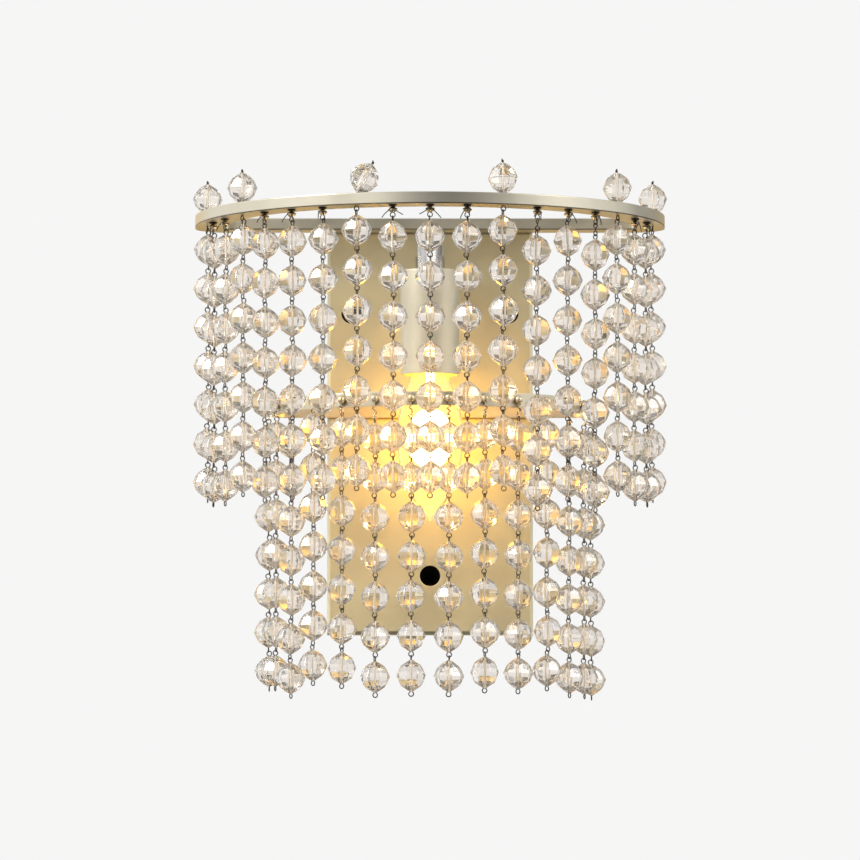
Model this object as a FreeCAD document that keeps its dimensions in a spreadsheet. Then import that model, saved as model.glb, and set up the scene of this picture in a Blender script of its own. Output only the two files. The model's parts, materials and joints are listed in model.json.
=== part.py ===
import FreeCAD, Part

import math
import os
import re
from types import SimpleNamespace

import Sketcher

# Beaded wall sconce, in millimetres and degrees.
# The wall is the plane Y = 0 and the sconce stands out from it towards -Y, with +Z up.
# The origin is the centre of the wall plate on the wall.

os.makedirs("parts", exist_ok=True)
doc = FreeCAD.newDocument("BeadedWallSconce")
Vec = FreeCAD.Vector
Rot = FreeCAD.Rotation
Place = FreeCAD.Placement
ORIGIN = Vec(0, 0, 0)
ALONG_X = Vec(1, 0, 0)
ALONG_Y = Vec(0, 1, 0)
ALONG_Z = Vec(0, 0, 1)
QUARTER_TURN = 90
FULL_TURN = 360
BOTH_SIDES = (-1, 1)

# Driving dimensions
SIZES = {
    # Wall plate, a shallow pan
    "plate_width": 110,
    "plate_height": 221.2,
    "plate_rise": 1,
    "plate_depth": 22,
    "plate_wall": 1.2,
    "plate_bevel": 1.5,
    # Round holes in the plate, in front of the wall screws
    "access_hole_width": 11,
    "lower_access_drop": 78.5,
    "upper_access_rise": 62.2,
    "upper_access_spread": 84,
    # Clearances
    "fit_gap": 0.1,
    "loose_gap": 0.3,
    "overrun": 1,
    # Wall bracket inside the pan
    "bracket_thickness": 2,
    "bracket_height": 200,
    "ear_depth": 14,
    "ear_height": 30,
    "wall_screw_width": 5,
    "cable_hole_width": 18,
    "cable_hole_drop": 40,
    "grommet_bore": 10,
    "grommet_lip": 2,
    # Screws that hold the pan, the rings and the earth wire
    "cover_screw_width": 3,
    "cover_head_width": 6,
    "screw_head_height": 2,
    "screw_depth": 10,
    "ring_screw_width": 2.5,
    "ring_head_width": 4.5,
    "ring_screw_spread": 70,
    "upper_screw_bite": 5,
    "lower_screw_bite": 2,
    "earth_screw_offset": 30,
    # Upper ring, a flat bar
    "upper_radius": 125,
    "upper_bar_width": 16,
    "upper_bar_height": 6,
    "upper_corner": 18,
    "hook_inset": 6,
    # Lower ring, an upright strip
    "lower_radius": 84.3,
    "lower_strip": 2.5,
    "lower_strip_height": 7.4,
    "lower_corner": 8.5,
    "lower_ring_level": 9.7,
    # Bead and the eye pin through it
    "bead_width": 16,
    "bead_height": 16.2,
    "bead_end_width": 1.8,
    "bead_bore": 1.2,
    "side_facet_slope": 22,
    "cap_facet_slope": 52,
    "loop_radius": 1.06,
    "loop_wire": 0.6,
    "pin_wire": 0.54,
    "loop_slack": 0.05,
    "pin_neck": 0.1,
    # Strands
    "beads_per_strand": 7,
    "upper_strands": 19,
    "upper_spread": 165.6,
    "lower_strands": 14,
    "lower_spread": 167.7,
    "long_link": 4.45,
    # Screw eyes under the upper ring
    "nut_width": 3.7,
    "nut_height": 4,
    "eye_screw_width": 1.5,
    "eye_screw_length": 3.5,
    # Wires through the upper ring with a bead on top
    "through_stem": 0.3,
    "through_hole": 1,
    "pin_stop": 1.3,
    "pin_tip": 2.2,
    # Ball hooks on the lower ring
    "ball_width": 4.2,
    "stud_width": 1,
    "rivet_width": 1.8,
    "rivet_height": 0.5,
    "lower_hook_drop": 10.7,
    # Arm
    "arm_width": 13,
    "arm_height": 12.7,
    "arm_level": 86.6,
    "bulb_reach": 70,
    "arm_end": 8.5,
    "wire_bore": 7,
    "nipple_width": 10,
    "arm_nipple_seat": 10,
    "arm_nipple_tail": 4,
    "lock_nut_width": 14,
    "lock_nut_height": 3,
    "socket_nipple_seat": 2.7,
    "socket_nipple_tail": 8,
    # Sleeve and lamp holder
    "sleeve_width": 31,
    "sleeve_wall": 1,
    "sleeve_length": 55,
    "socket_length": 48,
    "shell_width": 15,
    "shell_wall": 0.5,
    "shell_length": 19,
    "contact_width": 4,
    "contact_length": 9,
    "contact_thickness": 0.6,
    "lead_passage": 6,
    # Candle bulb
    "screw_gap": 0.06,
    "cap_wall": 0.4,
    "cap_length": 16.5,
    "cap_cone": 2.5,
    "cap_tip": 2.5,
    "cap_tip_width": 5,
    "cap_overhang": 1,
    "neck_length": 4,
    "bulb_width": 35,
    "bulb_length": 82,
    "bulb_belly_drop": 38.5,
    "bulb_tip": 1.6,
    "glass_wall": 0.8,
    "stem_width": 4,
    "stem_length": 30,
    "filament_radius": 4,
    "filament_drop": 14,
    "filament_wire": 0.8,
    # Wiring
    "block_width": 22,
    "block_depth": 12,
    "block_height": 14,
    "block_level": 38,
    "lead_width": 1.8,
    "lead_spacing": 3.2,
    "lead_hole": 2.2,
    "lead_bend": 6,
    "arm_bend": 3,
    "terminal_screw_width": 3,
}

# Strands, counted from the left, that hang from a wire with a bead on top of the ring
TOP_BEAD_PLACES = (0, 3, 7, 11, 15, 18)
# Strands that hang lower on one more link
LONG_LINK_PLACES = (12, 14)
# How much of the hook drop each lower strand is lifted by, from left to right
LOWER_LIFT_SHARES = (0.417, 0.417, 0, 0.604, 0.373, 0, 0, 0, 0.186, 0.142, 0.284, 0, 0, 0)

sheet = doc.addObject("Spreadsheet::Sheet", "Sizes")
for row, (alias, number) in enumerate(SIZES.items(), start=1):
    sheet.set(f"A{row}", alias)
    sheet.set(f"B{row}", str(number))
    sheet.setAlias(f"B{row}", alias)
doc.recompute()
size = SimpleNamespace(**{alias: float(getattr(sheet, alias)) for alias in SIZES})

# Places worked out from the sizes, for the sheet's formulas
FRONT = "plate_depth"
PLATE_INSIDE = "(plate_depth - plate_wall)"
PLATE_TOP = "(plate_height / 2 + plate_rise)"
UPPER_BOTTOM = f"({PLATE_TOP} - upper_bar_height)"
UPPER_CENTRE = "(plate_depth + upper_corner)"
LOWER_CENTRE = "(plate_depth + lower_corner)"
UPPER_SCREW_LEVEL = f"({PLATE_TOP} - plate_wall - ring_head_width / 2 - loose_gap)"
ARM_BOTTOM = "(arm_level - arm_height / 2)"
SOCKET_TOP = f"({ARM_BOTTOM} - sleeve_wall)"
SOCKET_BOTTOM = f"({SOCKET_TOP} - socket_length)"
CAP_BOTTOM = f"({SOCKET_BOTTOM} - cap_overhang)"
CAP_RADIUS = "(shell_width / 2 - shell_wall - screw_gap)"
CAP_TOP = f"({CAP_BOTTOM} + cap_length + cap_cone + cap_tip)"
CAVITY_TOP = f"({CAP_TOP} + loose_gap + contact_thickness)"

# The same places as numbers, for shapes from Part's own functions
upper_bottom = size.plate_height / 2 + size.plate_rise - size.upper_bar_height
upper_centre = size.plate_depth + size.upper_corner
lower_centre = size.plate_depth + size.lower_corner
arm_bottom = size.arm_level - size.arm_height / 2
socket_top = arm_bottom - size.sleeve_wall
socket_bottom = socket_top - size.socket_length
cap_bottom = socket_bottom - size.cap_overhang
cap_radius = size.shell_width / 2 - size.shell_wall - size.screw_gap
cap_top = cap_bottom + size.cap_length + size.cap_cone + size.cap_tip
cavity_top = cap_top + size.loose_gap + size.contact_thickness

# Chain geometry: how the loops of two neighbouring pins sit in each other
loop_outside = size.loop_radius + size.loop_wire / 2
link_step = 2 * size.loop_radius - size.loop_wire - size.loop_slack
pin_reach = size.bead_height / 2 + size.pin_neck + loop_outside
bead_pitch = 2 * pin_reach + link_step
first_loop_drop = link_step - size.loop_radius
eye_height = 2 * size.loop_radius + size.loop_wire / 2


# Helpers
def formula(text):
    """Put the sheet's name in front of each alias."""
    return re.sub(r"[a-z_]+", lambda word: f"Sizes.{word[0]}" if word[0] in SIZES else word[0], text)


def bind(feature, **formulas):
    for name, text in formulas.items():
        feature.setExpression(name, formula(text))
    return feature


def put(feature, x="0", y="0", z="0", turn=None):
    """Place a feature by formulas; y counts from the wall to the front."""
    if turn is not None:
        feature.Placement = Place(ORIGIN, turn)
    feature.setExpression("Placement.Base.x", formula(x))
    feature.setExpression("Placement.Base.y", formula(f"-({y})"))
    feature.setExpression("Placement.Base.z", formula(z))
    return feature


UPWARDS = None
TO_FRONT = Rot(ALONG_X, QUARTER_TURN)
TO_RIGHT = Rot(ALONG_Y, QUARTER_TURN)


def cylinder(name, radius, length, x="0", y="0", z="0", turn=UPWARDS):
    shape = doc.addObject("Part::Cylinder", name)
    bind(shape, Radius=radius, Height=length)
    return put(shape, x, y, z, turn)


def cone(name, start_radius, end_radius, length, x="0", y="0", z="0"):
    shape = doc.addObject("Part::Cone", name)
    bind(shape, Radius1=start_radius, Radius2=end_radius, Height=length)
    return put(shape, x, y, z)


def box(name, width, depth, height, x="0", y="0", z="0"):
    """A box centred on x, standing on z, with its back at y."""
    shape = doc.addObject("Part::Box", name)
    bind(shape, Length=width, Width=depth, Height=height)
    return put(shape, f"({x}) - ({width}) / 2", f"({y}) + ({depth})", z)


def hexagon(name, across_flats, length, x="0", y="0", z="0", turn=UPWARDS):
    shape = doc.addObject("Part::Prism", name)
    shape.Polygon = 6
    bind(shape, Circumradius=f"({across_flats}) / 2 / cos(30)", Height=length)
    return put(shape, x, y, z, turn)


def fuse(name, *pieces):
    whole = doc.addObject("Part::MultiFuse", name)
    whole.Shapes = list(pieces)
    return whole


def group(name, *pieces):
    whole = doc.addObject("Part::Compound", name)
    whole.Links = list(pieces)
    return whole


def cut(name, base, *tools):
    whole = doc.addObject("Part::Cut", name)
    whole.Base = base
    whole.Tool = tools[0] if len(tools) == 1 else group(f"{name}_tools", *tools)
    return whole


def shaped(name, shape, place=None):
    feature = doc.addObject("Part::Feature", name)
    feature.Shape = shape
    if place is not None:
        feature.Placement = place
    return feature


def body_sketch(body, name, role):
    sketch = body.newObject("Sketcher::SketchObject", name)
    support = next(item for item in body.Origin.OriginFeatures if item.Role == role)
    sketch.AttachmentSupport = (support, [""])
    sketch.MapMode = "FlatFace"
    return sketch


def constrain(sketch, kind, *places, datum=None, drawn=1.0):
    """Add a constraint; a datum is a formula, and drawn is its value in the sketch as first drawn."""
    if datum is None:
        sketch.addConstraint(Sketcher.Constraint(kind, *places))
        return
    index = sketch.addConstraint(Sketcher.Constraint(kind, *places, drawn))
    sketch.setExpression(f"Constraints[{index}]", formula(datum))


START, END, CENTRE = 1, 2, 3
X_AXIS, SKETCH_ORIGIN = -1, (-1, 1)


def add_rectangle(sketch, width, height):
    """A rectangle centred on the sketch's origin, drawn as a unit shape and sized by its constraints."""
    corners = [Vec(-1, -1, 0), Vec(1, -1, 0), Vec(1, 1, 0), Vec(-1, 1, 0)]
    first = sketch.GeometryCount
    for number, corner in enumerate(corners):
        sketch.addGeometry(Part.LineSegment(corner, corners[(number + 1) % len(corners)]), False)
    bottom, right, top, left = range(first, first + len(corners))
    for line, following in ((bottom, right), (right, top), (top, left), (left, bottom)):
        constrain(sketch, "Coincident", line, END, following, START)
    constrain(sketch, "Horizontal", bottom)
    constrain(sketch, "Horizontal", top)
    constrain(sketch, "Vertical", right)
    constrain(sketch, "Vertical", left)
    constrain(sketch, "Symmetric", bottom, START, top, START, *SKETCH_ORIGIN)
    constrain(sketch, "DistanceX", bottom, START, bottom, END, datum=width)
    constrain(sketch, "DistanceY", right, START, right, END, datum=height)


def add_d_outline(sketch, radius, corner, radius_now, corner_now):
    """Half a circle at the front, two rounded corners and a straight back."""
    side_now = radius_now - corner_now
    first = sketch.GeometryCount
    front, right, back, left = range(first, first + 4)
    sketch.addGeometry(Part.ArcOfCircle(Part.Circle(ORIGIN, ALONG_Z, radius_now), math.pi, 2 * math.pi), False)
    sketch.addGeometry(Part.ArcOfCircle(
        Part.Circle(Vec(side_now, 0, 0), ALONG_Z, corner_now), 0, math.pi / 2), False)
    sketch.addGeometry(Part.LineSegment(Vec(side_now, corner_now, 0), Vec(-side_now, corner_now, 0)), False)
    sketch.addGeometry(Part.ArcOfCircle(
        Part.Circle(Vec(-side_now, 0, 0), ALONG_Z, corner_now), math.pi / 2, math.pi), False)
    constrain(sketch, "Radius", front, datum=radius, drawn=radius_now)
    constrain(sketch, "Radius", right, datum=corner, drawn=corner_now)
    constrain(sketch, "Radius", left, datum=corner, drawn=corner_now)
    constrain(sketch, "Coincident", front, CENTRE, *SKETCH_ORIGIN)
    constrain(sketch, "PointOnObject", front, START, X_AXIS)
    constrain(sketch, "PointOnObject", front, END, X_AXIS)
    constrain(sketch, "PointOnObject", right, CENTRE, X_AXIS)
    constrain(sketch, "PointOnObject", left, CENTRE, X_AXIS)
    constrain(sketch, "Coincident", front, END, right, START)
    constrain(sketch, "Coincident", right, END, back, START)
    constrain(sketch, "Coincident", back, END, left, START)
    constrain(sketch, "Coincident", left, END, front, START)
    constrain(sketch, "Vertical", right, CENTRE, right, END)
    constrain(sketch, "Vertical", left, CENTRE, left, START)


def polar_place(index, count, spread, radius, centre, level):
    """Where hook number index hangs on a ring, and the way it faces."""
    angle = spread * (index / (count - 1) - 0.5) if count > 1 else 0
    turn = Rot(ALONG_Z, angle)
    return Place(Vec(0, -centre, level) + turn.multVec(Vec(0, -radius, 0)), turn)


# Backplate: padded, bevelled at the front and hollowed from the wall side
def backplate():
    body = doc.addObject("PartDesign::Body", "plate_pan")
    outline = body_sketch(body, "plate_outline", "XZ_Plane")
    add_rectangle(outline, "plate_width", "plate_height")
    pad = body.newObject("PartDesign::Pad", "plate_pad")
    pad.Profile = outline
    bind(pad, Length="plate_depth")
    doc.recompute()
    front_edges = [f"Edge{number}" for number, edge in enumerate(pad.Shape.Edges, start=1)
                   if math.isclose(edge.BoundBox.YMax, -size.plate_depth, abs_tol=size.fit_gap)]
    bevel = body.newObject("PartDesign::Chamfer", "plate_edge_bevel")
    bevel.Base = (pad, front_edges)
    bind(bevel, Size="plate_bevel")
    inside = body_sketch(body, "plate_inside", "XZ_Plane")
    add_rectangle(inside, "plate_width - 2 * plate_wall", "plate_height - 2 * plate_wall")
    hollow = body.newObject("PartDesign::Pocket", "plate_hollow")
    hollow.Profile = inside
    hollow.Reversed = True
    bind(hollow, Length=PLATE_INSIDE)
    doc.recompute()
    assert hollow.Shape.Volume < bevel.Shape.Volume, "the pan is not hollow"

    through = dict(length="plate_wall + 2 * overrun", y=f"{PLATE_INSIDE} - overrun", turn=TO_FRONT)
    holes = [cylinder("plate_hole_low", "access_hole_width / 2", z="-lower_access_drop", **through)]
    holes.append(cylinder("plate_hole_arm", "nipple_width / 2 + fit_gap", z="arm_level", **through))
    for side in BOTH_SIDES:
        name = "left" if side < 0 else "right"
        holes.append(cylinder(f"plate_hole_{name}", "access_hole_width / 2",
                              x=f"{side} * upper_access_spread / 2", z="upper_access_rise", **through))
        for ring, level in (("upper", UPPER_SCREW_LEVEL), ("lower", "lower_ring_level")):
            holes.append(cylinder(f"plate_hole_{ring}_ring_{name}", "ring_screw_width / 2 + fit_gap",
                                  x=f"{side} * ring_screw_spread / 2", z=level, **through))
        holes.append(cylinder(f"plate_hole_side_{name}", "cover_screw_width / 2 + fit_gap",
                              "plate_wall + 2 * overrun", y="screw_depth",
                              x=f"{side} * (plate_width - plate_wall) / 2 - plate_wall / 2 - overrun",
                              turn=TO_RIGHT))
    return cut("backplate", put(body, z="plate_rise"), *holes)


# Wall bracket: a plate on the wall with an ear folded forward at each side
BRACKET_WIDTH = "(plate_width - 2 * plate_wall - 2 * loose_gap)"


def wall_bracket():
    plate = box("bracket_plate", BRACKET_WIDTH, "bracket_thickness", "bracket_height", z="-bracket_height / 2")
    ears, holes = [], []
    through = dict(length="bracket_thickness + 2 * overrun", y="-overrun", turn=TO_FRONT)
    for side in BOTH_SIDES:
        name = "left" if side < 0 else "right"
        middle = f"{side} * ({BRACKET_WIDTH} - bracket_thickness) / 2"
        ears.append(box(f"bracket_ear_{name}", "bracket_thickness", "bracket_thickness + ear_depth",
                        "ear_height", x=middle, z="-ear_height / 2"))
        holes.append(cylinder(f"ear_hole_{name}", "cover_screw_width / 2 + fit_gap",
                              "bracket_thickness + 2 * overrun",
                              x=f"{middle} - bracket_thickness / 2 - overrun", y="screw_depth", turn=TO_RIGHT))
        holes.append(cylinder(f"wall_hole_{name}", "wall_screw_width / 2",
                              x=f"{side} * upper_access_spread / 2", z="upper_access_rise", **through))
    holes.append(cylinder("wall_hole_low", "wall_screw_width / 2", z="-lower_access_drop", **through))
    holes.append(cylinder("cable_hole", "cable_hole_width / 2", z="-cable_hole_drop", **through))
    holes.append(cylinder("earth_hole", "cover_screw_width / 2 + fit_gap", x="-earth_screw_offset",
                          z="block_level", **through))
    return cut("wall_bracket", fuse("bracket_blank", plate, *ears), *holes)


def cable_grommet():
    tube = cylinder("grommet_tube", "cable_hole_width / 2 - fit_gap", "bracket_thickness + grommet_lip",
                    z="-cable_hole_drop", turn=TO_FRONT)
    lip = cylinder("grommet_flange", "cable_hole_width / 2 + grommet_lip", "grommet_lip",
                   y="bracket_thickness", z="-cable_hole_drop", turn=TO_FRONT)
    bore = cylinder("grommet_hole", "grommet_bore / 2", "bracket_thickness + grommet_lip + 2 * overrun",
                    y="-overrun", z="-cable_hole_drop", turn=TO_FRONT)
    return cut("cable_grommet", fuse("grommet_blank", tube, lip), bore)


def cover_screws():
    """Two screws through the sides of the pan into the bracket's ears."""
    screws = []
    for side, name in zip(BOTH_SIDES, ("left", "right")):
        inner_end = "(plate_width / 2 - plate_wall - loose_gap - bracket_thickness)"
        shank_x = inner_end if side > 0 else "-plate_width / 2"
        head_x = "plate_width / 2" if side > 0 else "-plate_width / 2 - screw_head_height"
        shank = cylinder(f"cover_shank_{name}", "cover_screw_width / 2", f"plate_width / 2 - {inner_end}",
                         x=shank_x, y="screw_depth", turn=TO_RIGHT)
        head = cylinder(f"cover_head_{name}", "cover_head_width / 2", "screw_head_height",
                        x=head_x, y="screw_depth", turn=TO_RIGHT)
        screws.append(fuse(f"cover_screw_{name}", shank, head))
    return group("cover_screws", *screws)


def ring_screws():
    """Two screws from inside the pan into each ring."""
    screws = []
    for ring, level, bite in (("upper", UPPER_SCREW_LEVEL, "upper_screw_bite"),
                              ("lower", "lower_ring_level", "lower_screw_bite")):
        for side, name in zip(BOTH_SIDES, ("left", "right")):
            x = f"{side} * ring_screw_spread / 2"
            head = cylinder(f"{ring}_ring_head_{name}", "ring_head_width / 2", "screw_head_height",
                            x=x, y=f"{PLATE_INSIDE} - screw_head_height", z=level, turn=TO_FRONT)
            shank = cylinder(f"{ring}_ring_shank_{name}", "ring_screw_width / 2", f"plate_wall + {bite}",
                             x=x, y=PLATE_INSIDE, z=level, turn=TO_FRONT)
            screws.append(fuse(f"{ring}_ring_screw_{name}", head, shank))
    return group("ring_screws", *screws)


def earth_screw():
    head = cylinder("earth_head", "cover_head_width / 2", "screw_head_height", x="-earth_screw_offset",
                    y="bracket_thickness", z="block_level", turn=TO_FRONT)
    shank = cylinder("earth_shank", "cover_screw_width / 2", "bracket_thickness - fit_gap",
                     x="-earth_screw_offset", y="fit_gap", z="block_level", turn=TO_FRONT)
    return fuse("earth_screw", head, shank)


# Rings: a D outline padded upwards, its straight back against the plate
def d_ring(name, radius, width, corner, height, centre, level, radius_now, width_now, corner_now):
    body = doc.addObject("PartDesign::Body", f"{name}_bar")
    sketch = body_sketch(body, f"{name}_outline", "XY_Plane")
    add_d_outline(sketch, radius, corner, radius_now, corner_now)
    add_d_outline(sketch, f"{radius} - {width}", f"{corner} - {width}",
                  radius_now - width_now, corner_now - width_now)
    pad = body.newObject("PartDesign::Pad", f"{name}_pad")
    pad.Profile = sketch
    bind(pad, Length=height)
    return put(body, y=centre, z=level)


def ring_screw_holes(name, level, bite):
    return [cylinder(f"{name}_thread_{side_name}", "ring_screw_width / 2 + fit_gap",
                     f"{bite} + fit_gap + overrun", x=f"{side} * ring_screw_spread / 2",
                     y="plate_depth - overrun", z=level, turn=TO_FRONT)
            for side, side_name in zip(BOTH_SIDES, ("left", "right"))]


# Hanging places
def upper_place(index):
    rise = size.through_stem if index in TOP_BEAD_PLACES else size.nut_height
    level = upper_bottom - rise - eye_height
    return polar_place(index, int(size.upper_strands), size.upper_spread,
                       size.upper_radius - size.hook_inset, upper_centre, level)


def lower_lift(index):
    return LOWER_LIFT_SHARES[index % len(LOWER_LIFT_SHARES)] * size.lower_hook_drop


def lower_ball_level(index):
    """Height of the ball above the hook's eye: at the strip's middle, or higher above a lifted eye."""
    return max(size.lower_hook_drop - lower_lift(index), eye_height + size.ball_width / 2)


def lower_place(index):
    level = size.lower_ring_level - size.lower_hook_drop + lower_lift(index)
    radius = size.lower_radius + size.ball_width / 2 + size.fit_gap
    return polar_place(index, int(size.lower_strands), size.lower_spread, radius, lower_centre, level)


def upper_ring():
    bar = d_ring("upper_ring", "upper_radius", "upper_bar_width", "upper_corner", "upper_bar_height",
                 UPPER_CENTRE, UPPER_BOTTOM, size.upper_radius, size.upper_bar_width, size.upper_corner)
    drills = []
    for index in range(int(size.upper_strands)):
        place = upper_place(index)
        if index in TOP_BEAD_PLACES:
            radius = size.through_hole / 2
            start, length = -size.overrun, size.upper_bar_height + 2 * size.overrun
        else:
            radius = size.eye_screw_width / 2 + size.fit_gap / 2
            start, length = -size.overrun, size.eye_screw_length + size.overrun + size.loose_gap
        foot = Vec(place.Base.x, place.Base.y, upper_bottom + start)
        drills.append(Part.makeCylinder(radius, length, foot, ALONG_Z))
    holes = shaped("upper_ring_holes", Part.makeCompound(drills))
    return cut("upper_ring", bar, holes, *ring_screw_holes("upper", UPPER_SCREW_LEVEL, "upper_screw_bite"))


def lower_ring():
    bar = d_ring("lower_ring", "lower_radius", "lower_strip", "lower_corner", "lower_strip_height",
                 LOWER_CENTRE, "lower_ring_level - lower_strip_height / 2",
                 size.lower_radius, size.lower_strip, size.lower_corner)
    drills = []
    for index in range(int(size.lower_strands)):
        length = size.ball_width / 2 + size.lower_strip + 2 * size.overrun
        drill = Part.makeCylinder(size.stud_width / 2 + size.fit_gap, length,
                                  Vec(0, 0, lower_ball_level(index)), ALONG_Y)
        drill.Placement = lower_place(index)
        drills.append(drill)
    holes = shaped("lower_ring_holes", Part.makeCompound(drills))
    return cut("lower_ring", bar, holes, *ring_screw_holes("lower", "lower_ring_level", "lower_screw_bite"))


# Crystal bead: two rows of facets above its middle and two below, with a bore for the pin
def crossing(first, second):
    """Where two facet planes meet in the upright plane through the bead's axis."""
    (a, b, c), (d, e, f) = first, second
    scale = a * e - b * d
    return (c * e - b * f) / scale, (a * f - c * d) / scale


def crystal():
    side, cap = math.radians(size.side_facet_slope), math.radians(size.cap_facet_slope)
    facets = 8
    half_facet = math.pi / facets
    side_distance = size.bead_width / 2 * math.cos(side) * math.cos(half_facet)
    end_radius = size.bead_end_width / 2
    cap_distance = end_radius * math.cos(half_facet) * math.cos(cap) + size.bead_height / 2 * math.sin(cap)
    shoulder = crossing((math.cos(side) * math.cos(half_facet), math.sin(side), side_distance),
                        (math.cos(cap), math.sin(cap), cap_distance))
    crown = crossing((math.cos(side), math.sin(side), side_distance),
                     (math.cos(cap) * math.cos(half_facet), math.sin(cap), cap_distance))

    def corner(reach, height, half_steps):
        angle = half_steps * half_facet
        return Vec(reach * math.cos(angle), reach * math.sin(angle), height)

    faces = []
    for up in BOTH_SIDES:
        end = [corner(end_radius, up * size.bead_height / 2, 2 * facet) for facet in range(facets)]
        for facet in range(facets):
            middle = 2 * facet
            girdle = [corner(size.bead_width / 2, 0, middle + side) for side in BOTH_SIDES]
            shoulders = [corner(shoulder[0], up * shoulder[1], middle + side) for side in BOTH_SIDES]
            crowns = [corner(crown[0], up * crown[1], middle + step) for step in (0, 2)]
            side_facet = [girdle[0], girdle[1], shoulders[1], crowns[0], shoulders[0]]
            cap_facet = [shoulders[1], crowns[1], end[(facet + 1) % facets], end[facet], crowns[0]]
            for points in (side_facet, cap_facet):
                faces.append(Part.Face(Part.makePolygon(points + points[:1])))
        faces.append(Part.Face(Part.makePolygon(end + end[:1])))
    return Part.makeSolid(Part.makeShell(faces))


def bead():
    blank = shaped("bead_blank", crystal())
    bore = cylinder("bead_bore", "bead_bore / 2", "bead_height + 2 * overrun", z="-bead_height / 2 - overrun")
    return cut("bead", blank, bore)


# A wire loop stands upright: facing shows its hole from the front, edge-on from the side
FACING = Rot(ALONG_X, QUARTER_TURN)
EDGE_ON = Rot(ALONG_Y, QUARTER_TURN)
PIN_REACH = "(bead_height / 2 + pin_neck + loop_radius + loop_wire / 2)"


def loop(name, level, turn):
    ring = doc.addObject("Part::Torus", name)
    bind(ring, Radius1="loop_radius", Radius2="loop_wire / 2")
    return put(ring, z=level, turn=turn)


def eye_pin():
    """Eye pin with its middle at the bead's centre: one loop edge-on above, one facing below."""
    reach = f"({PIN_REACH} - loop_radius)"
    shank = cylinder("pin_shank", "pin_wire / 2", f"2 * {reach}", z=f"-{reach}")
    return fuse("eye_pin", shank, loop("pin_top_loop", PIN_REACH, EDGE_ON),
                loop("pin_low_loop", f"-{PIN_REACH}", FACING))


def hanger_link():
    """Short double-ended link, measured down from the centre of its top loop."""
    shank = cylinder("link_shank", "pin_wire / 2", "long_link - 2 * loop_radius", z="loop_radius - long_link")
    return fuse("hanger_link", shank, loop("link_top_loop", "0", EDGE_ON),
                loop("link_low_loop", "-long_link", FACING))


def strand(name, place, bead_shape, pin_shape, link_shape=None):
    """One strand hanging from its hinge point, which is the middle of the wire that it hangs on."""
    solids = []
    top_loop = -first_loop_drop
    if link_shape is not None:
        solids.append(moved(link_shape, top_loop))
        top_loop -= size.long_link + link_step
    for number in range(int(size.beads_per_strand)):
        middle = top_loop - pin_reach - number * bead_pitch
        solids.append(moved(bead_shape, middle))
        solids.append(moved(pin_shape, middle))
    return shaped(name, Part.makeCompound(solids), place)


def moved(shape, level):
    copy = shape.copy()
    copy.translate(Vec(0, 0, level))
    return copy


# Hooks: each is measured up from the middle of its eye's lowest wire
def screw_eye():
    eye = loop("eye_loop", "loop_radius", FACING)
    stem = cylinder("eye_stem", "pin_wire / 2", "loop_wire + nut_height / 2", z="2 * loop_radius")
    nut = hexagon("eye_nut", "nut_width", "nut_height", z="2 * loop_radius + loop_wire / 2")
    thread = cylinder("eye_thread", "eye_screw_width / 2", "eye_screw_length + nut_height / 2",
                      z="2 * loop_radius + loop_wire / 2 + nut_height / 2")
    return fuse("screw_eye", eye, stem, nut, thread)


THROUGH_BEAD_BOTTOM = "(2 * loop_radius + loop_wire / 2 + through_stem + upper_bar_height + loop_slack)"


def through_pin():
    """Wire through the ring with an eye below, a stop above the bead and a short tip."""
    top = f"({THROUGH_BEAD_BOTTOM} + bead_height + loop_slack)"
    eye = loop("through_loop", "loop_radius", FACING)
    shank = cylinder("through_shank", "pin_wire / 2", f"{top} + pin_tip - 2 * loop_radius", z="2 * loop_radius")
    stop = doc.addObject("Part::Sphere", "through_stop")
    bind(stop, Radius="pin_stop / 2")
    put(stop, z=f"{top} + pin_stop / 2")
    return fuse("through_pin", eye, shank, stop)


def ball_hook(ball_level):
    """Ball on a stud through the strip, with a wire and an eye below the ball."""
    eye = Part.makeTorus(size.loop_radius, size.loop_wire / 2)
    eye.Placement = Place(Vec(0, 0, size.loop_radius), FACING)
    wire = Part.makeCylinder(size.pin_wire / 2, ball_level - 2 * size.loop_radius, Vec(0, 0, 2 * size.loop_radius))
    ball = Part.makeSphere(size.ball_width / 2, Vec(0, 0, ball_level))
    strip_inside = size.ball_width / 2 + size.fit_gap + size.lower_strip
    stud = Part.makeCylinder(size.stud_width / 2, strip_inside + size.fit_gap, Vec(0, 0, ball_level), ALONG_Y)
    rivet = Part.makeCylinder(size.rivet_width / 2, size.rivet_height,
                              Vec(0, strip_inside + size.fit_gap / 2, ball_level), ALONG_Y)
    return eye.multiFuse([wire, ball, stud, rivet])


def copies(name, shapes_and_places):
    solids = []
    for shape, place in shapes_and_places:
        solid = shape.copy()
        solid.Placement = place
        solids.append(solid)
    return shaped(name, Part.makeCompound(solids))


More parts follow.
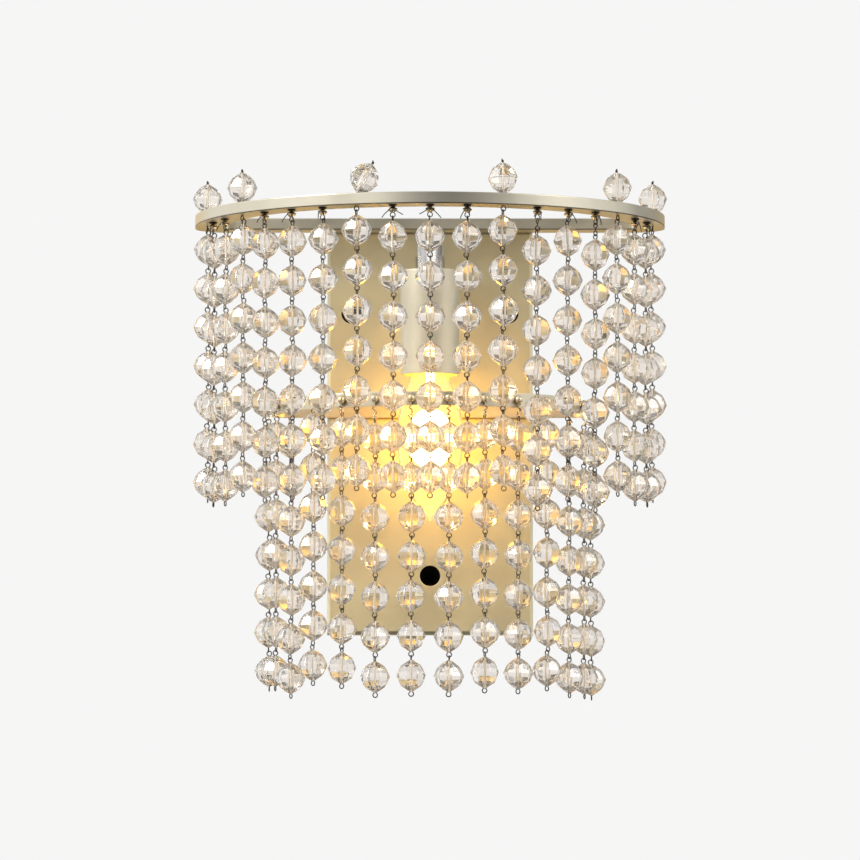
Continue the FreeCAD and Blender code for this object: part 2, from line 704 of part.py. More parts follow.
# Arm and the hollow nipples that hold it and the lamp holder
def socket_arm():
    bar = box("arm_bar", "arm_width", f"bulb_reach + arm_end - {FRONT}", "arm_height", y=FRONT, z=ARM_BOTTOM)
    wireway = cylinder("arm_wireway", "wire_bore / 2", f"bulb_reach + wire_bore / 2 - {FRONT} + overrun",
                       y=f"{FRONT} - overrun", z="arm_level", turn=TO_FRONT)
    rear_seat = cylinder("arm_rear_seat", "nipple_width / 2 + fit_gap / 2", "arm_nipple_seat + overrun",
                         y=f"{FRONT} - overrun", z="arm_level", turn=TO_FRONT)
    drop = cylinder("arm_drop_bore", "wire_bore / 2 - loose_gap", "arm_height / 2 + overrun", y="bulb_reach",
                    z=f"{ARM_BOTTOM} - overrun")
    low_seat = cylinder("arm_low_seat", "nipple_width / 2 + fit_gap / 2", "socket_nipple_seat + overrun",
                        y="bulb_reach", z=f"{ARM_BOTTOM} - overrun")
    return cut("socket_arm", bar, fuse("arm_bores", wireway, rear_seat, drop, low_seat))


def arm_nipple():
    place = dict(y=f"{PLATE_INSIDE} - arm_nipple_tail", z="arm_level", turn=TO_FRONT)
    length = "plate_wall + arm_nipple_tail + arm_nipple_seat - fit_gap"
    return cut("arm_nipple", cylinder("arm_nipple_rod", "nipple_width / 2", length, **place),
               cylinder("arm_nipple_bore", "wire_bore / 2", length, **place))


def arm_lock_nut():
    place = dict(y=f"{PLATE_INSIDE} - lock_nut_height", z="arm_level", turn=TO_FRONT)
    return cut("arm_lock_nut", hexagon("lock_nut_blank", "lock_nut_width", "lock_nut_height", **place),
               cylinder("lock_nut_bore", "nipple_width / 2 + fit_gap / 2", "lock_nut_height", **place))


def socket_nipple():
    place = dict(y="bulb_reach", z=f"{SOCKET_TOP} - socket_nipple_tail")
    length = "socket_nipple_tail + sleeve_wall + socket_nipple_seat - fit_gap"
    return cut("socket_nipple", cylinder("socket_nipple_rod", "nipple_width / 2", length, **place),
               cylinder("socket_nipple_bore", "wire_bore / 2", length, **place))


def socket_sleeve():
    tube = cylinder("sleeve_tube", "sleeve_width / 2", "sleeve_length", y="bulb_reach",
                    z=f"{ARM_BOTTOM} - sleeve_length")
    inside = cylinder("sleeve_inside", "sleeve_width / 2 - sleeve_wall", "sleeve_length - sleeve_wall + overrun",
                      y="bulb_reach", z=f"{ARM_BOTTOM} - sleeve_length - overrun")
    hole = cylinder("sleeve_hole", "nipple_width / 2 + fit_gap / 2", "sleeve_wall + 2 * overrun",
                    y="bulb_reach", z=f"{ARM_BOTTOM} - sleeve_wall - overrun")
    return cut("socket_sleeve", tube, fuse("sleeve_space", inside, hole))


def lamp_socket():
    core = cylinder("socket_core", "sleeve_width / 2 - sleeve_wall - fit_gap", "socket_length",
                    y="bulb_reach", z=SOCKET_BOTTOM)
    cavity = cylinder("socket_cavity", "shell_width / 2 + fit_gap", f"{CAVITY_TOP} - {SOCKET_BOTTOM} + overrun",
                      y="bulb_reach", z=f"{SOCKET_BOTTOM} - overrun")
    passage = cylinder("socket_passage", "lead_passage / 2", "socket_length", y="bulb_reach", z=SOCKET_BOTTOM)
    seat = cylinder("socket_seat", "nipple_width / 2 + fit_gap / 2", "socket_nipple_tail + fit_gap + overrun",
                    y="bulb_reach", z=f"{SOCKET_TOP} - socket_nipple_tail - fit_gap")
    return cut("lamp_socket", core, fuse("socket_spaces", cavity, passage, seat))


def socket_shell():
    place = dict(y="bulb_reach", z=f"{SOCKET_BOTTOM}")
    return cut("socket_shell", cylinder("shell_tube", "shell_width / 2", "shell_length", **place),
               cylinder("shell_inside", "shell_width / 2 - shell_wall", "shell_length", **place))


def socket_contact():
    return box("socket_contact", "contact_length", "contact_width", "contact_thickness",
               y="bulb_reach - contact_width / 2", z=f"{CAVITY_TOP} - contact_thickness")


# Candle bulb, pointing down
def bulb_cap():
    barrel = cylinder("cap_barrel", CAP_RADIUS, "cap_length", y="bulb_reach", z=CAP_BOTTOM)
    shoulder = cone("cap_shoulder", CAP_RADIUS, "cap_tip_width / 2", "cap_cone", y="bulb_reach",
                    z=f"{CAP_BOTTOM} + cap_length")
    tip = cylinder("cap_contact", "cap_tip_width / 2", "cap_tip", y="bulb_reach",
                   z=f"{CAP_BOTTOM} + cap_length + cap_cone")
    inside = cylinder("cap_inside", f"{CAP_RADIUS} - cap_wall", "cap_length - cap_wall", y="bulb_reach",
                      z=CAP_BOTTOM)
    return cut("bulb_cap", fuse("cap_blank", barrel, shoulder, tip), inside)


def glass_solid(shrink, neck_length):
    """The bulb from neck to tip as a full solid, drawn in by a distance from its outer surface."""
    belly = size.bulb_width / 2
    neck = cap_radius - size.cap_wall - size.fit_gap
    rise, fall = size.bulb_belly_drop, size.bulb_length - size.bulb_belly_drop
    upper = ((belly - neck) ** 2 + rise ** 2) / (2 * (belly - neck))
    lower = ((belly - size.bulb_tip / 2) ** 2 + fall ** 2) / (2 * (belly - size.bulb_tip / 2))

    def depth_at(radius, reach):
        return math.sqrt((radius - shrink) ** 2 - (radius - belly + reach) ** 2)

    def on_arc(radius, depth):
        return belly - radius + math.sqrt((radius - shrink) ** 2 - depth ** 2)

    neck_depth = depth_at(upper, neck - shrink)
    tip_depth = depth_at(lower, size.bulb_tip / 2)
    mouth = Vec(neck - shrink, 0, neck_length)
    start = Vec(neck - shrink, 0, neck_depth - rise)
    shoulder = Vec(on_arc(upper, neck_depth / 2), 0, neck_depth / 2 - rise)
    widest = Vec(belly - shrink, 0, -rise)
    taper = Vec(on_arc(lower, tip_depth / 2), 0, -rise - tip_depth / 2)
    tip_edge = Vec(size.bulb_tip / 2, 0, -rise - tip_depth)
    tip = Vec(0, 0, -rise - tip_depth)
    top = Vec(0, 0, neck_length)
    outline = Part.Wire([
        Part.LineSegment(top, mouth).toShape(), Part.LineSegment(mouth, start).toShape(),
        Part.Arc(start, shoulder, widest).toShape(), Part.Arc(widest, taper, tip_edge).toShape(),
        Part.LineSegment(tip_edge, tip).toShape(), Part.LineSegment(tip, top).toShape()])
    return Part.Face(outline).revolve(ORIGIN, ALONG_Z, FULL_TURN)


def bulb_glass():
    glass = glass_solid(0, size.neck_length).cut(glass_solid(size.glass_wall, size.neck_length + size.overrun))
    return shaped("bulb_glass", glass, Place(Vec(0, -size.bulb_reach, cap_bottom), Rot()))


def bulb_stem():
    """Flare in the neck, stem, two support wires and a round filament between them."""
    neck_inside = f"({CAP_RADIUS} - cap_wall - 2 * fit_gap - glass_wall)"
    stem_end = f"({CAP_BOTTOM} + neck_length - stem_length)"
    flare = cylinder("stem_flare", neck_inside, "neck_length / 2", y="bulb_reach",
                     z=f"{CAP_BOTTOM} + neck_length / 2")
    stem = cylinder("stem_rod", "stem_width / 2", "stem_length", y="bulb_reach", z=stem_end)
    pieces = [flare, stem]
    for side, name in zip(BOTH_SIDES, ("left", "right")):
        pieces.append(support_wire(f"filament_wire_{name}", side, stem_end))
    filament = doc.addObject("Part::Torus", "filament_ring")
    bind(filament, Radius1="filament_radius", Radius2="filament_wire / 2")
    put(filament, y="bulb_reach", z=f"{stem_end} - filament_drop")
    return fuse("bulb_stem", *pieces, filament)


def support_wire(name, side, stem_end):
    """Support wire from inside the stem down to the filament ring."""
    wire = cylinder(name, "filament_wire / 2", "filament_drop + stem_width / 2",
                    x=f"{side} * stem_width / 4", y="bulb_reach", z=f"{stem_end} - filament_drop")
    lean = math.degrees(math.atan2(size.filament_radius - size.stem_width / 4, size.filament_drop))
    wire.Placement = Place(ORIGIN, Rot(ALONG_Y, -side * lean))
    wire.setExpression("Placement.Base.x", formula(f"{side} * filament_radius"))
    return wire


# Terminal block on the bracket and the two leads to the lamp holder
def terminal_block():
    block = box("block_body", "block_width", "block_depth", "block_height", y="bracket_thickness",
                z="block_level - block_height / 2")
    holes = []
    for side, name in zip(BOTH_SIDES, ("left", "right")):
        holes.append(cylinder(f"lead_hole_{name}", "lead_hole / 2", "block_height / 2 + overrun",
                              x=f"{side} * lead_spacing / 2", y="bracket_thickness + block_depth / 2",
                              z="block_level"))
        holes.append(cylinder(f"screw_hole_{name}", "terminal_screw_width / 2 + fit_gap",
                              "block_depth / 4 + overrun", x=f"{side} * block_width / 4",
                              y="bracket_thickness + block_depth * 3 / 4", z="block_level", turn=TO_FRONT))
    return cut("terminal_block", block, *holes)


def terminal_screws():
    screws = [cylinder(f"terminal_screw_{name}", "terminal_screw_width / 2", "block_depth / 4 - fit_gap",
                       x=f"{side} * block_width / 4", y="bracket_thickness + block_depth * 3 / 4",
                       z="block_level", turn=TO_FRONT)
              for side, name in zip(BOTH_SIDES, ("left", "right"))]
    return group("terminal_screws", *screws)


def lead(side):
    """One lead: up from the block, forward through the arm and down into the lamp holder."""
    x = side * size.lead_spacing / 2
    rise_y = -(size.bracket_thickness + size.block_depth / 2)
    bulb_y = -size.bulb_reach
    start = Vec(x, rise_y, size.block_level + size.loose_gap)
    rear_top = Vec(x, rise_y, size.arm_level - size.lead_bend)
    rear_out = Vec(x, rise_y - size.lead_bend, size.arm_level)
    arm_in = Vec(x, bulb_y + size.arm_bend, size.arm_level)
    arm_down = Vec(x, bulb_y, size.arm_level - size.arm_bend)
    finish = Vec(x, bulb_y, cavity_top + size.loose_gap)
    sagitta = 1 - math.sqrt(0.5)
    rear_middle = rear_top + Vec(0, -size.lead_bend * sagitta, size.lead_bend * math.sqrt(0.5))
    arm_middle = arm_down + Vec(0, size.arm_bend * sagitta, size.arm_bend * math.sqrt(0.5))
    path = Part.Wire([Part.LineSegment(start, rear_top).toShape(),
                      Part.Arc(rear_top, rear_middle, rear_out).toShape(),
                      Part.LineSegment(rear_out, arm_in).toShape(),
                      Part.Arc(arm_in, arm_middle, arm_down).toShape(),
                      Part.LineSegment(arm_down, finish).toShape()])
    section = Part.Wire(Part.makeCircle(size.lead_width / 2, start, ALONG_Z))
    return path.makePipeShell([section], True, False)


# Sub-parts, in the order in which the sconce is put together
nodes = [
    backplate(), wall_bracket(), cable_grommet(), cover_screws(), ring_screws(), earth_screw(),
    upper_ring(), lower_ring(), socket_arm(), arm_nipple(), arm_lock_nut(), socket_nipple(),
    socket_sleeve(), lamp_socket(), socket_shell(), socket_contact(), bulb_cap(), bulb_glass(),
    bulb_stem(), terminal_block(), terminal_screws(),
    shaped("socket_leads", Part.makeCompound([lead(side) for side in BOTH_SIDES])),
]
patterns = bead(), eye_pin(), hanger_link(), screw_eye(), through_pin()
doc.recompute()
bead_shape, pin_shape, link_shape, screw_eye_shape, through_pin_shape = [
    pattern.Shape.Solids[0] for pattern in patterns]

upper_places = [upper_place(index) for index in range(int(size.upper_strands))]
lower_places = [lower_place(index) for index in range(int(size.lower_strands))]
through_places = [place for index, place in enumerate(upper_places) if index in TOP_BEAD_PLACES]
nut_places = [place for index, place in enumerate(upper_places) if index not in TOP_BEAD_PLACES]
bead_rise = (eye_height + size.through_stem + size.upper_bar_height + size.loop_slack
             + size.bead_height / 2)
nodes.append(copies("upper_hooks", [(screw_eye_shape, place) for place in nut_places]))
nodes.append(copies("top_bead_pins", [(through_pin_shape, place) for place in through_places]))
nodes.append(copies("top_beads", [(bead_shape, place * Place(Vec(0, 0, bead_rise), Rot()))
                                  for place in through_places]))
nodes.append(copies("lower_hooks", [(ball_hook(lower_ball_level(index)), place)
                                    for index, place in enumerate(lower_places)]))
for index, place in enumerate(upper_places):
    link = link_shape if index in LONG_LINK_PLACES else None
    nodes.append(strand(f"upper_strand_{index + 1:02d}", place, bead_shape, pin_shape, link))
for index, place in enumerate(lower_places):
    nodes.append(strand(f"lower_strand_{index + 1:02d}", place, bead_shape, pin_shape))
doc.recompute()

# Every feature must have built, and every sub-part must be a valid shape
for feature in doc.Objects:
    assert not {"Invalid", "Error"} & set(feature.State), f"{feature.Name} did not build"
for node in nodes:
    assert not node.Shape.isNull() and node.Shape.isValid(), f"{node.Label} is not a valid shape"
    assert node.Shape.Solids, f"{node.Label} has no solid"
    node.Shape.exportStep(f"parts/{node.Label}.step")
print(f"{len(nodes)} sub-parts, {sum(len(node.Shape.Solids) for node in nodes)} solids")
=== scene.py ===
# %% [markdown]
# # Beaded wall sconce
# The light hangs on a wall: a shallow metal pan carries two D-shaped rings, and linked faceted
# crystal beads hang from both rings round one candle bulb that points down.
# The CAD gives every part its place. This script gives the metal its finish, and builds the crystal
# and its wire again in finer meshes than the CAD needs.

# %%
import json
import math
import random

import bmesh
import bpy
from mathutils import Matrix, Vector


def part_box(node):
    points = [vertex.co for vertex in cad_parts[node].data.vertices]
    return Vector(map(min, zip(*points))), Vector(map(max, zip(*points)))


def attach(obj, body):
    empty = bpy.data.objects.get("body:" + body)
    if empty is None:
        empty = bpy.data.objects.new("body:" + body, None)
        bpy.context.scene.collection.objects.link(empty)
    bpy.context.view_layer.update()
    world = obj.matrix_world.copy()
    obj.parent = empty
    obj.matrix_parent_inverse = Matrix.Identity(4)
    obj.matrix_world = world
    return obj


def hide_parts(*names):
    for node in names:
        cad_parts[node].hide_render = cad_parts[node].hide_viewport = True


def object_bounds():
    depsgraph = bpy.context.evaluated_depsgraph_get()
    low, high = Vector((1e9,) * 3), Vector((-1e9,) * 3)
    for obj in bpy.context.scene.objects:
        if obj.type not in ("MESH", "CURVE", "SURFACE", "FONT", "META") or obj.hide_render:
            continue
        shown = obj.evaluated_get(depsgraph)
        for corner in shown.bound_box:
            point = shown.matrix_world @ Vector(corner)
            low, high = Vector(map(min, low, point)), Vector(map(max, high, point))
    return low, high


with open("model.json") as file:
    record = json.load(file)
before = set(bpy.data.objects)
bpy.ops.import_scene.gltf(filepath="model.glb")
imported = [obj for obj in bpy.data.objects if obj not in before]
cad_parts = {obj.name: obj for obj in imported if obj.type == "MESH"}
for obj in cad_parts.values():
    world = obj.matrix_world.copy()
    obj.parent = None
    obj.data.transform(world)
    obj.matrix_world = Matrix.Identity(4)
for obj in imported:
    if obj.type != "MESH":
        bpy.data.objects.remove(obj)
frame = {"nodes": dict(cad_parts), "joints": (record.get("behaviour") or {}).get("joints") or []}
cad_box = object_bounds()
nodes = frame["nodes"]

# %% [markdown]
# ## Camera
# The photograph was taken from far away with a long lens, a little below the sconce and tilted up
# by four degrees: the undersides of both rings show, and the sides of the pan hardly converge.
# Distance and height come from how far the front bar of the upper ring drops below its back bar.

# %%
scene = bpy.context.scene
scene.view_settings.view_transform = "Standard"
TILT = math.radians(3.95)

lens = bpy.data.cameras.new("camera")
lens.sensor_width = 36.0
lens.lens = 221.0
camera = bpy.data.objects.new("camera", lens)
camera.location = (0.0, -2.840, -0.195)
camera.rotation_euler = (math.pi / 2 + TILT, 0.0, 0.0)
scene.collection.objects.link(camera)
scene.camera = camera
print("camera", tuple(round(v, 3) for v in camera.location), "lens", lens.lens)

# %% [markdown]
# ## Tools for materials
# Each finish is a small node tree. Textures take the place of a point in metres from the object
# coordinates, because every CAD part sits at the origin with its place in its mesh, so a grain of
# half a millimetre is the same size on the pan and on a screw. Most values of a noise texture lie
# in the noise range, and a tint goes from dark to light within the tint range.

# %%
NOISE_RANGE, TINT_RANGE = (0.3, 0.7), (0.35, 0.65)


def material(name):
    made = bpy.data.materials.new(name)
    made.use_nodes = True
    made.node_tree.nodes.clear()
    return made, made.node_tree


def node(tree, kind, **inputs):
    made = tree.nodes.new("ShaderNode" + kind)
    for socket, value in inputs.items():
        made.inputs[socket.replace("_", " ")].default_value = value
    return made


def join(tree, start, start_socket, end, end_socket):
    tree.links.new(start.outputs[start_socket], end.inputs[end_socket])


def feed(tree, value, socket):
    """Sets a socket to a number or a colour, or links it to the output that it should follow."""
    if isinstance(value, bpy.types.NodeSocket):
        tree.links.new(value, socket)
    else:
        socket.default_value = value


def output_of(tree, shader, socket="BSDF"):
    """Ends a tree with a shader node, or with a shader socket where no socket name is given."""
    end = tree.nodes.new("ShaderNodeOutputMaterial")
    tree.links.new(shader.outputs[socket] if socket else shader, end.inputs["Surface"])


def noise(tree, scale, detail=3.0, stretch=(1.0, 1.0, 1.0)):
    """Noise in metres: scale is how many lumps fit into one metre."""
    place = node(tree, "TexCoord")
    sizing = node(tree, "Mapping")
    sizing.inputs["Scale"].default_value = stretch
    made = node(tree, "TexNoise", Scale=scale, Detail=detail)
    join(tree, place, "Object", sizing, "Vector")
    join(tree, sizing, "Vector", made, "Vector")
    return made


def ranged(tree, value, start, end, low, high, soft=False):
    """A number that goes from low to high while a value goes from start to end."""
    made = node(tree, "MapRange", From_Min=start, From_Max=end, To_Min=low, To_Max=high)
    made.interpolation_type = "SMOOTHSTEP" if soft else "LINEAR"
    tree.links.new(value, made.inputs["Value"])
    return made.outputs["Result"]


def maths(tree, operation, first, second):
    """One step of arithmetic between two sockets or numbers."""
    made = tree.nodes.new("ShaderNodeMath")
    made.operation = operation
    feed(tree, first, made.inputs[0])
    feed(tree, second, made.inputs[1])
    return made.outputs["Value"]


def spread(tree, texture, low, high):
    """A number from low to high that follows a texture."""
    return ranged(tree, texture.outputs["Fac"], *NOISE_RANGE, low, high)


def tint(tree, source, dark, light):
    """A colour between two that follows a texture."""
    made = node(tree, "ValToRGB")
    for stop, position, colour in zip(made.color_ramp.elements, TINT_RANGE, (dark, light)):
        stop.position, stop.color = position, (*colour, 1.0)
    join(tree, source, "Fac", made, "Fac")
    return made


def roughened(tree, shader, texture, roughness, least, most):
    """Roughness that follows a texture, between two shares of its usual value."""
    dullness = spread(tree, texture, least * roughness, most * roughness)
    tree.links.new(dullness, shader.inputs["Roughness"])


def between(tree, share, first, second):
    """A colour between a first one, a value or a socket, and a second one."""
    made = node(tree, "Mix")
    made.data_type = "RGBA"
    tree.links.new(share, made.inputs[0])
    feed(tree, (*first, 1.0) if isinstance(first, tuple) else first, made.inputs[6])
    made.inputs[7].default_value = (*second, 1.0)
    return made.outputs[2]


def darkened(tree, colour, factor):
    """A colour times a factor."""
    made = node(tree, "VectorMath")
    made.operation = "MULTIPLY"
    tree.links.new(colour, made.inputs[0])
    tree.links.new(factor, made.inputs[1])
    return made.outputs["Vector"]


def blend(tree, share, first, second):
    """A mix of two shaders; the share of the second is a number or a socket."""
    made = node(tree, "MixShader")
    feed(tree, share, made.inputs["Fac"])
    tree.links.new(first, made.inputs[1])
    tree.links.new(second, made.inputs[2])
    return made.outputs["Shader"]


def both(tree, first, second):
    """Two shaders at once, such as glass and its own glow."""
    made = node(tree, "AddShader")
    tree.links.new(first, made.inputs[0])
    tree.links.new(second, made.inputs[1])
    return made.outputs["Shader"]


def bumped(tree, shader, texture, strength, depth, edge_radius=0.0):
    """Relief from a texture, on edges that are rounded for the light by a given radius."""
    made = node(tree, "Bump", Strength=strength, Distance=depth)
    join(tree, texture, "Fac", made, "Height")
    if edge_radius:
        join(tree, node(tree, "Bevel", Radius=edge_radius), "Normal", made, "Normal")
    join(tree, made, "Normal", shader, "Normal")


print("material tools ready")

# %% [markdown]
# ## Metal finishes
# The pan, both rings and the lamp sleeve are steel with a satin champagne lacquer. The lacquer lies
# thicker and duller on the pan and the sleeve than on the rings, and a fine grain in it keeps its
# reflections from being mirror-sharp. Edges shine a little more, where lacquer runs thin. Narrow
# seams are darkened with painted shade, and a painted line of shade runs along the foot of the
# upper ring.
# The hooks are plated, and the arm is polished chrome. The wires are plated too, but painted
# almost black: a painted reflection of the dark room round about.
# How worn an edge is follows from how far its rounded normal turns from the true one, and how much
# painted shade a seam gets from how much of the room it sees.

# %%
EDGE_RADIUS, EDGE_SHINE, UNWORN, WORN = 0.0008, 1.12, 0.995, 0.90
# painted shade in narrow seams: how wide it reaches and how dark it gets
SEAM_WIDTH, SEAM_SHADE, SHUT, OPEN = 0.0022, 0.14, 0.45, 0.92
# painted shade: a dark line along the foot of upright faces
FOOT_WIDTH, FOOT_SHADE, FOOT_SHARP = 0.0007, 0.16, 0.6
LACQUER_DEPTH, PLATING_DEPTH = 0.00006, 0.00003


def edge_wear(tree, radius):
    """One on worn edges and zero on flat faces, where the rounded normal is the true one."""
    rounded, flat = node(tree, "Bevel", Radius=radius), node(tree, "NewGeometry")
    match = node(tree, "VectorMath")
    match.operation = "DOT_PRODUCT"
    join(tree, rounded, "Normal", match, 0)
    join(tree, flat, "True Normal", match, 1)
    return ranged(tree, match.outputs["Value"], UNWORN, WORN, 0.0, 1.0)


def painted_gap_shade(tree, width, dark):
    """A factor that falls from one to a dark value in narrow gaps: painted shade."""
    open_sky = node(tree, "AmbientOcclusion", Distance=width)
    return ranged(tree, open_sky.outputs["AO"], SHUT, OPEN, dark, 1.0)


def painted_foot_shade(tree, level, width, dark):
    """A factor that is dark along the foot of upright faces: a painted line of shade."""
    place, height = node(tree, "TexCoord"), node(tree, "SeparateXYZ")
    join(tree, place, "Object", height, "Vector")
    rise = ranged(tree, height.outputs["Z"], level + FOOT_SHARP * width, level + width, dark, 1.0)
    shape, up = node(tree, "NewGeometry"), node(tree, "SeparateXYZ")
    join(tree, shape, "True Normal", up, "Vector")
    return maths(tree, "MAXIMUM", rise, maths(tree, "MULTIPLY", up.outputs["Z"], up.outputs["Z"]))


def lacquered_metal(name, dark, light, roughness, grain, metallic=0.85, foot=None):
    made, tree = material(name)
    shader = node(tree, "BsdfPrincipled", Metallic=metallic)
    cloud, fine = noise(tree, 38.0, 4.0), noise(tree, grain, 2.0)
    shine = tuple(min(1.0, EDGE_SHINE * c) for c in light)
    lacquer = tint(tree, cloud, dark, light).outputs["Color"]
    colour = between(tree, edge_wear(tree, EDGE_RADIUS), lacquer, shine)
    # painted shade in narrow seams and gaps
    colour = darkened(tree, colour, painted_gap_shade(tree, SEAM_WIDTH, SEAM_SHADE))
    # painted line of shade along the foot of upright faces, where a foot level is given
    if foot is not None:
        colour = darkened(tree, colour, painted_foot_shade(tree, foot, FOOT_WIDTH, FOOT_SHADE))
    tree.links.new(colour, shader.inputs["Base Color"])
    roughened(tree, shader, cloud, roughness, 0.88, 1.15)
    bumped(tree, shader, fine, 0.10, LACQUER_DEPTH, EDGE_RADIUS)
    output_of(tree, shader)
    return made


def plated_metal(name, dark, light, roughness, grain=900.0, strength=0.06, metallic=1.0):
    made, tree = material(name)
    shader = node(tree, "BsdfPrincipled", Metallic=metallic)
    streaks = noise(tree, grain, 3.0)
    join(tree, tint(tree, streaks, dark, light), "Color", shader, "Base Color")
    roughened(tree, shader, streaks, roughness, 0.8, 1.25)
    bumped(tree, shader, streaks, strength, PLATING_DEPTH)
    output_of(tree, shader)
    return made


def polished_tube(name, dark, light, roughness, doming, straight_at):
    """Polished metal, its flat front slightly domed, so that it mirrors from side to side."""
    made, tree = material(name)
    shader = node(tree, "BsdfPrincipled", Metallic=1.0)
    streaks = noise(tree, 420.0, 3.0, (1.0, 1.0, 0.2))
    join(tree, tint(tree, streaks, dark, light), "Color", shader, "Base Color")
    roughened(tree, shader, streaks, roughness, 0.8, 1.25)
    place, parts = node(tree, "TexCoord"), node(tree, "SeparateXYZ")
    join(tree, place, "Object", parts, "Vector")
    off = maths(tree, "SUBTRACT", parts.outputs["X"], straight_at)
    height = maths(tree, "MULTIPLY", maths(tree, "POWER", off, 2.0), -doming)
    bent = node(tree, "Bump", Strength=1.0, Distance=1.0)
    tree.links.new(height, bent.inputs["Height"])
    join(tree, node(tree, "Bevel", Radius=0.0007), "Normal", bent, "Normal")
    join(tree, bent, "Normal", shader, "Normal")
    output_of(tree, shader)
    return made


RING_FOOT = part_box("upper_ring")[0].z
RING_DARK, RING_PALE = (0.70, 0.65, 0.52), (0.77, 0.72, 0.585)
champagne = lacquered_metal("champagne_lacquer", RING_DARK, RING_PALE, 0.35, 2600.0)
# the ring's lacquer carries a painted line of shade along its foot
ring_lacquer = lacquered_metal("champagne_ring", RING_DARK, RING_PALE, 0.35, 2600.0, foot=RING_FOOT)
pan_lacquer = lacquered_metal("champagne_pan", (0.745, 0.685, 0.465), (0.815, 0.755, 0.52),
                              0.52, 2200.0, metallic=0.72)
sleeve_lacquer = lacquered_metal("champagne_sleeve", (0.72, 0.67, 0.53), (0.79, 0.74, 0.59),
                                 0.50, 2200.0, metallic=0.72)
black_metal = lacquered_metal("black_lacquer", (0.012, 0.012, 0.012), (0.022, 0.021, 0.020),
                              0.5, 1800.0)
steel = plated_metal("zinc_steel", (0.48, 0.49, 0.50), (0.62, 0.62, 0.61), 0.30)
chrome = polished_tube("arm_chrome", (0.86, 0.86, 0.87), (0.93, 0.93, 0.94), 0.16, 19.0, 0.007)
gunmetal = plated_metal("dark_plated_washer", (0.045, 0.040, 0.034), (0.10, 0.086, 0.066), 0.16)
knob_metal = plated_metal("polished_knob", (0.80, 0.68, 0.46), (0.92, 0.81, 0.58), 0.09,
                          grain=650.0, strength=1.0)
# the wire's near-black colour is a painted dark reflection of the room round about
wire_metal = plated_metal("wire_painted_dark", (0.018, 0.012, 0.007), (0.054, 0.037, 0.021), 0.34,
                          metallic=0.32)
brass = plated_metal("polished_brass", (0.72, 0.52, 0.22), (0.84, 0.64, 0.32), 0.20)
pale_gold = plated_metal("pale_gold_hook", (0.86, 0.72, 0.46), (0.95, 0.83, 0.60), 0.16)
cap_metal = plated_metal("nickel_cap", (0.60, 0.59, 0.56), (0.74, 0.73, 0.70), 0.26)
METALS = (champagne, ring_lacquer, pan_lacquer, sleeve_lacquer, black_metal, steel, chrome,
          gunmetal, knob_metal, wire_metal, brass, pale_gold, cap_metal)
print("metal finishes:", ", ".join(look.name for look in METALS))

# %% [markdown]
# ## Plastic, rubber and wire covers
# None of these shows from the front. The lamp holder is a pale moulding inside the sleeve, the
# terminal block sits in the pan, and a rubber ring lines the hole for the house cable.

# %%
MOULDING_DEPTH = 0.00008


def moulded(name, dark, light, roughness, grain, strength):
    made, tree = material(name)
    shader = node(tree, "BsdfPrincipled", Roughness=roughness)
    texture = noise(tree, grain, 4.0)
    join(tree, tint(tree, texture, dark, light), "Color", shader, "Base Color")
    roughened(tree, shader, texture, roughness, 0.85, 1.15)
    bumped(tree, shader, texture, strength, MOULDING_DEPTH)
    output_of(tree, shader)
    return made


insulator = moulded("lamp_holder_plastic", (0.74, 0.72, 0.66), (0.82, 0.80, 0.75),
                    0.42, 1400.0, 0.12)
block_plastic = moulded("terminal_plastic", (0.72, 0.72, 0.69), (0.80, 0.80, 0.78),
                        0.30, 900.0, 0.08)
lead_cover = moulded("lead_cover", (0.56, 0.56, 0.54), (0.66, 0.66, 0.64), 0.38, 700.0, 0.08)
rubber = moulded("grommet_rubber", (0.016, 0.016, 0.016), (0.034, 0.033, 0.032), 0.68, 1600.0, 0.25)
MOULDINGS = (insulator, block_plastic, lead_cover, rubber)
print("moulded finishes:", ", ".join(look.name for look in MOULDINGS))

# %% [markdown]
# ## Crystal
# The beads are pressed and fire-polished glass, clear with a faint warm cast. Light bends through
# each facet, so a bead shows the room upside down in small pieces, and the wire in its bore as a
# double line. For a shadow the glass counts as nearly clear, as thin bright crystal does, or the
# beads would throw black shadows on the pan. Light that has gone from bead to bead many times has
# gathered the tone of the whole room, so it ends in a painted glow of that tone instead of in
# black, and a little light goes straight through, as the wide bore and the soft edges let it.
# In front of the lamp the beads get painted lamp light: a warm tint and a faint painted glow.

# %%
CRYSTAL_IOR, COAT_IOR = 1.54, 1.6
STRAIGHT_THROUGH = 0.05
LAST_BOUNCE = 9.5
# after the clear tint comes the painted warm lamp light for beads in front of the lamp
CLEAR, PAINTED_LAMP_LIGHT = (1.0, 0.960, 0.910), (1.0, 0.895, 0.735)
# painted glow past the last bounce: the room's tone, warmer in front of the lamp
SPENT_ROOM_LIGHT, SPENT_LAMP_LIGHT = (0.86, 0.77, 0.66), (1.0, 0.80, 0.50)
SHADOW_TONE, PAINTED_GLOW_COLOUR = (0.875, 0.83, 0.745), (1.0, 0.54, 0.16)
LAMP = (0.0, 0.0, -0.014)
LAMP_NEAR, LAMP_FAR = 0.012, 0.075
PAINTED_GLOW_POWER = 0.055


def near_lamp(tree):
    """One in front of the lamp and zero a few beads to the side of it, above it or below it."""
    place, seen, apart = node(tree, "TexCoord"), node(tree, "VectorMath"), node(tree, "VectorMath")
    seen.operation, apart.operation = "MULTIPLY", "DISTANCE"
    join(tree, place, "Object", seen, 0)
    seen.inputs[1].default_value = (1.0, 0.0, 1.0)
    join(tree, seen, "Vector", apart, 0)
    apart.inputs[1].default_value = LAMP
    return ranged(tree, apart.outputs["Value"], LAMP_NEAR, LAMP_FAR, 1.0, 0.0, soft=True)


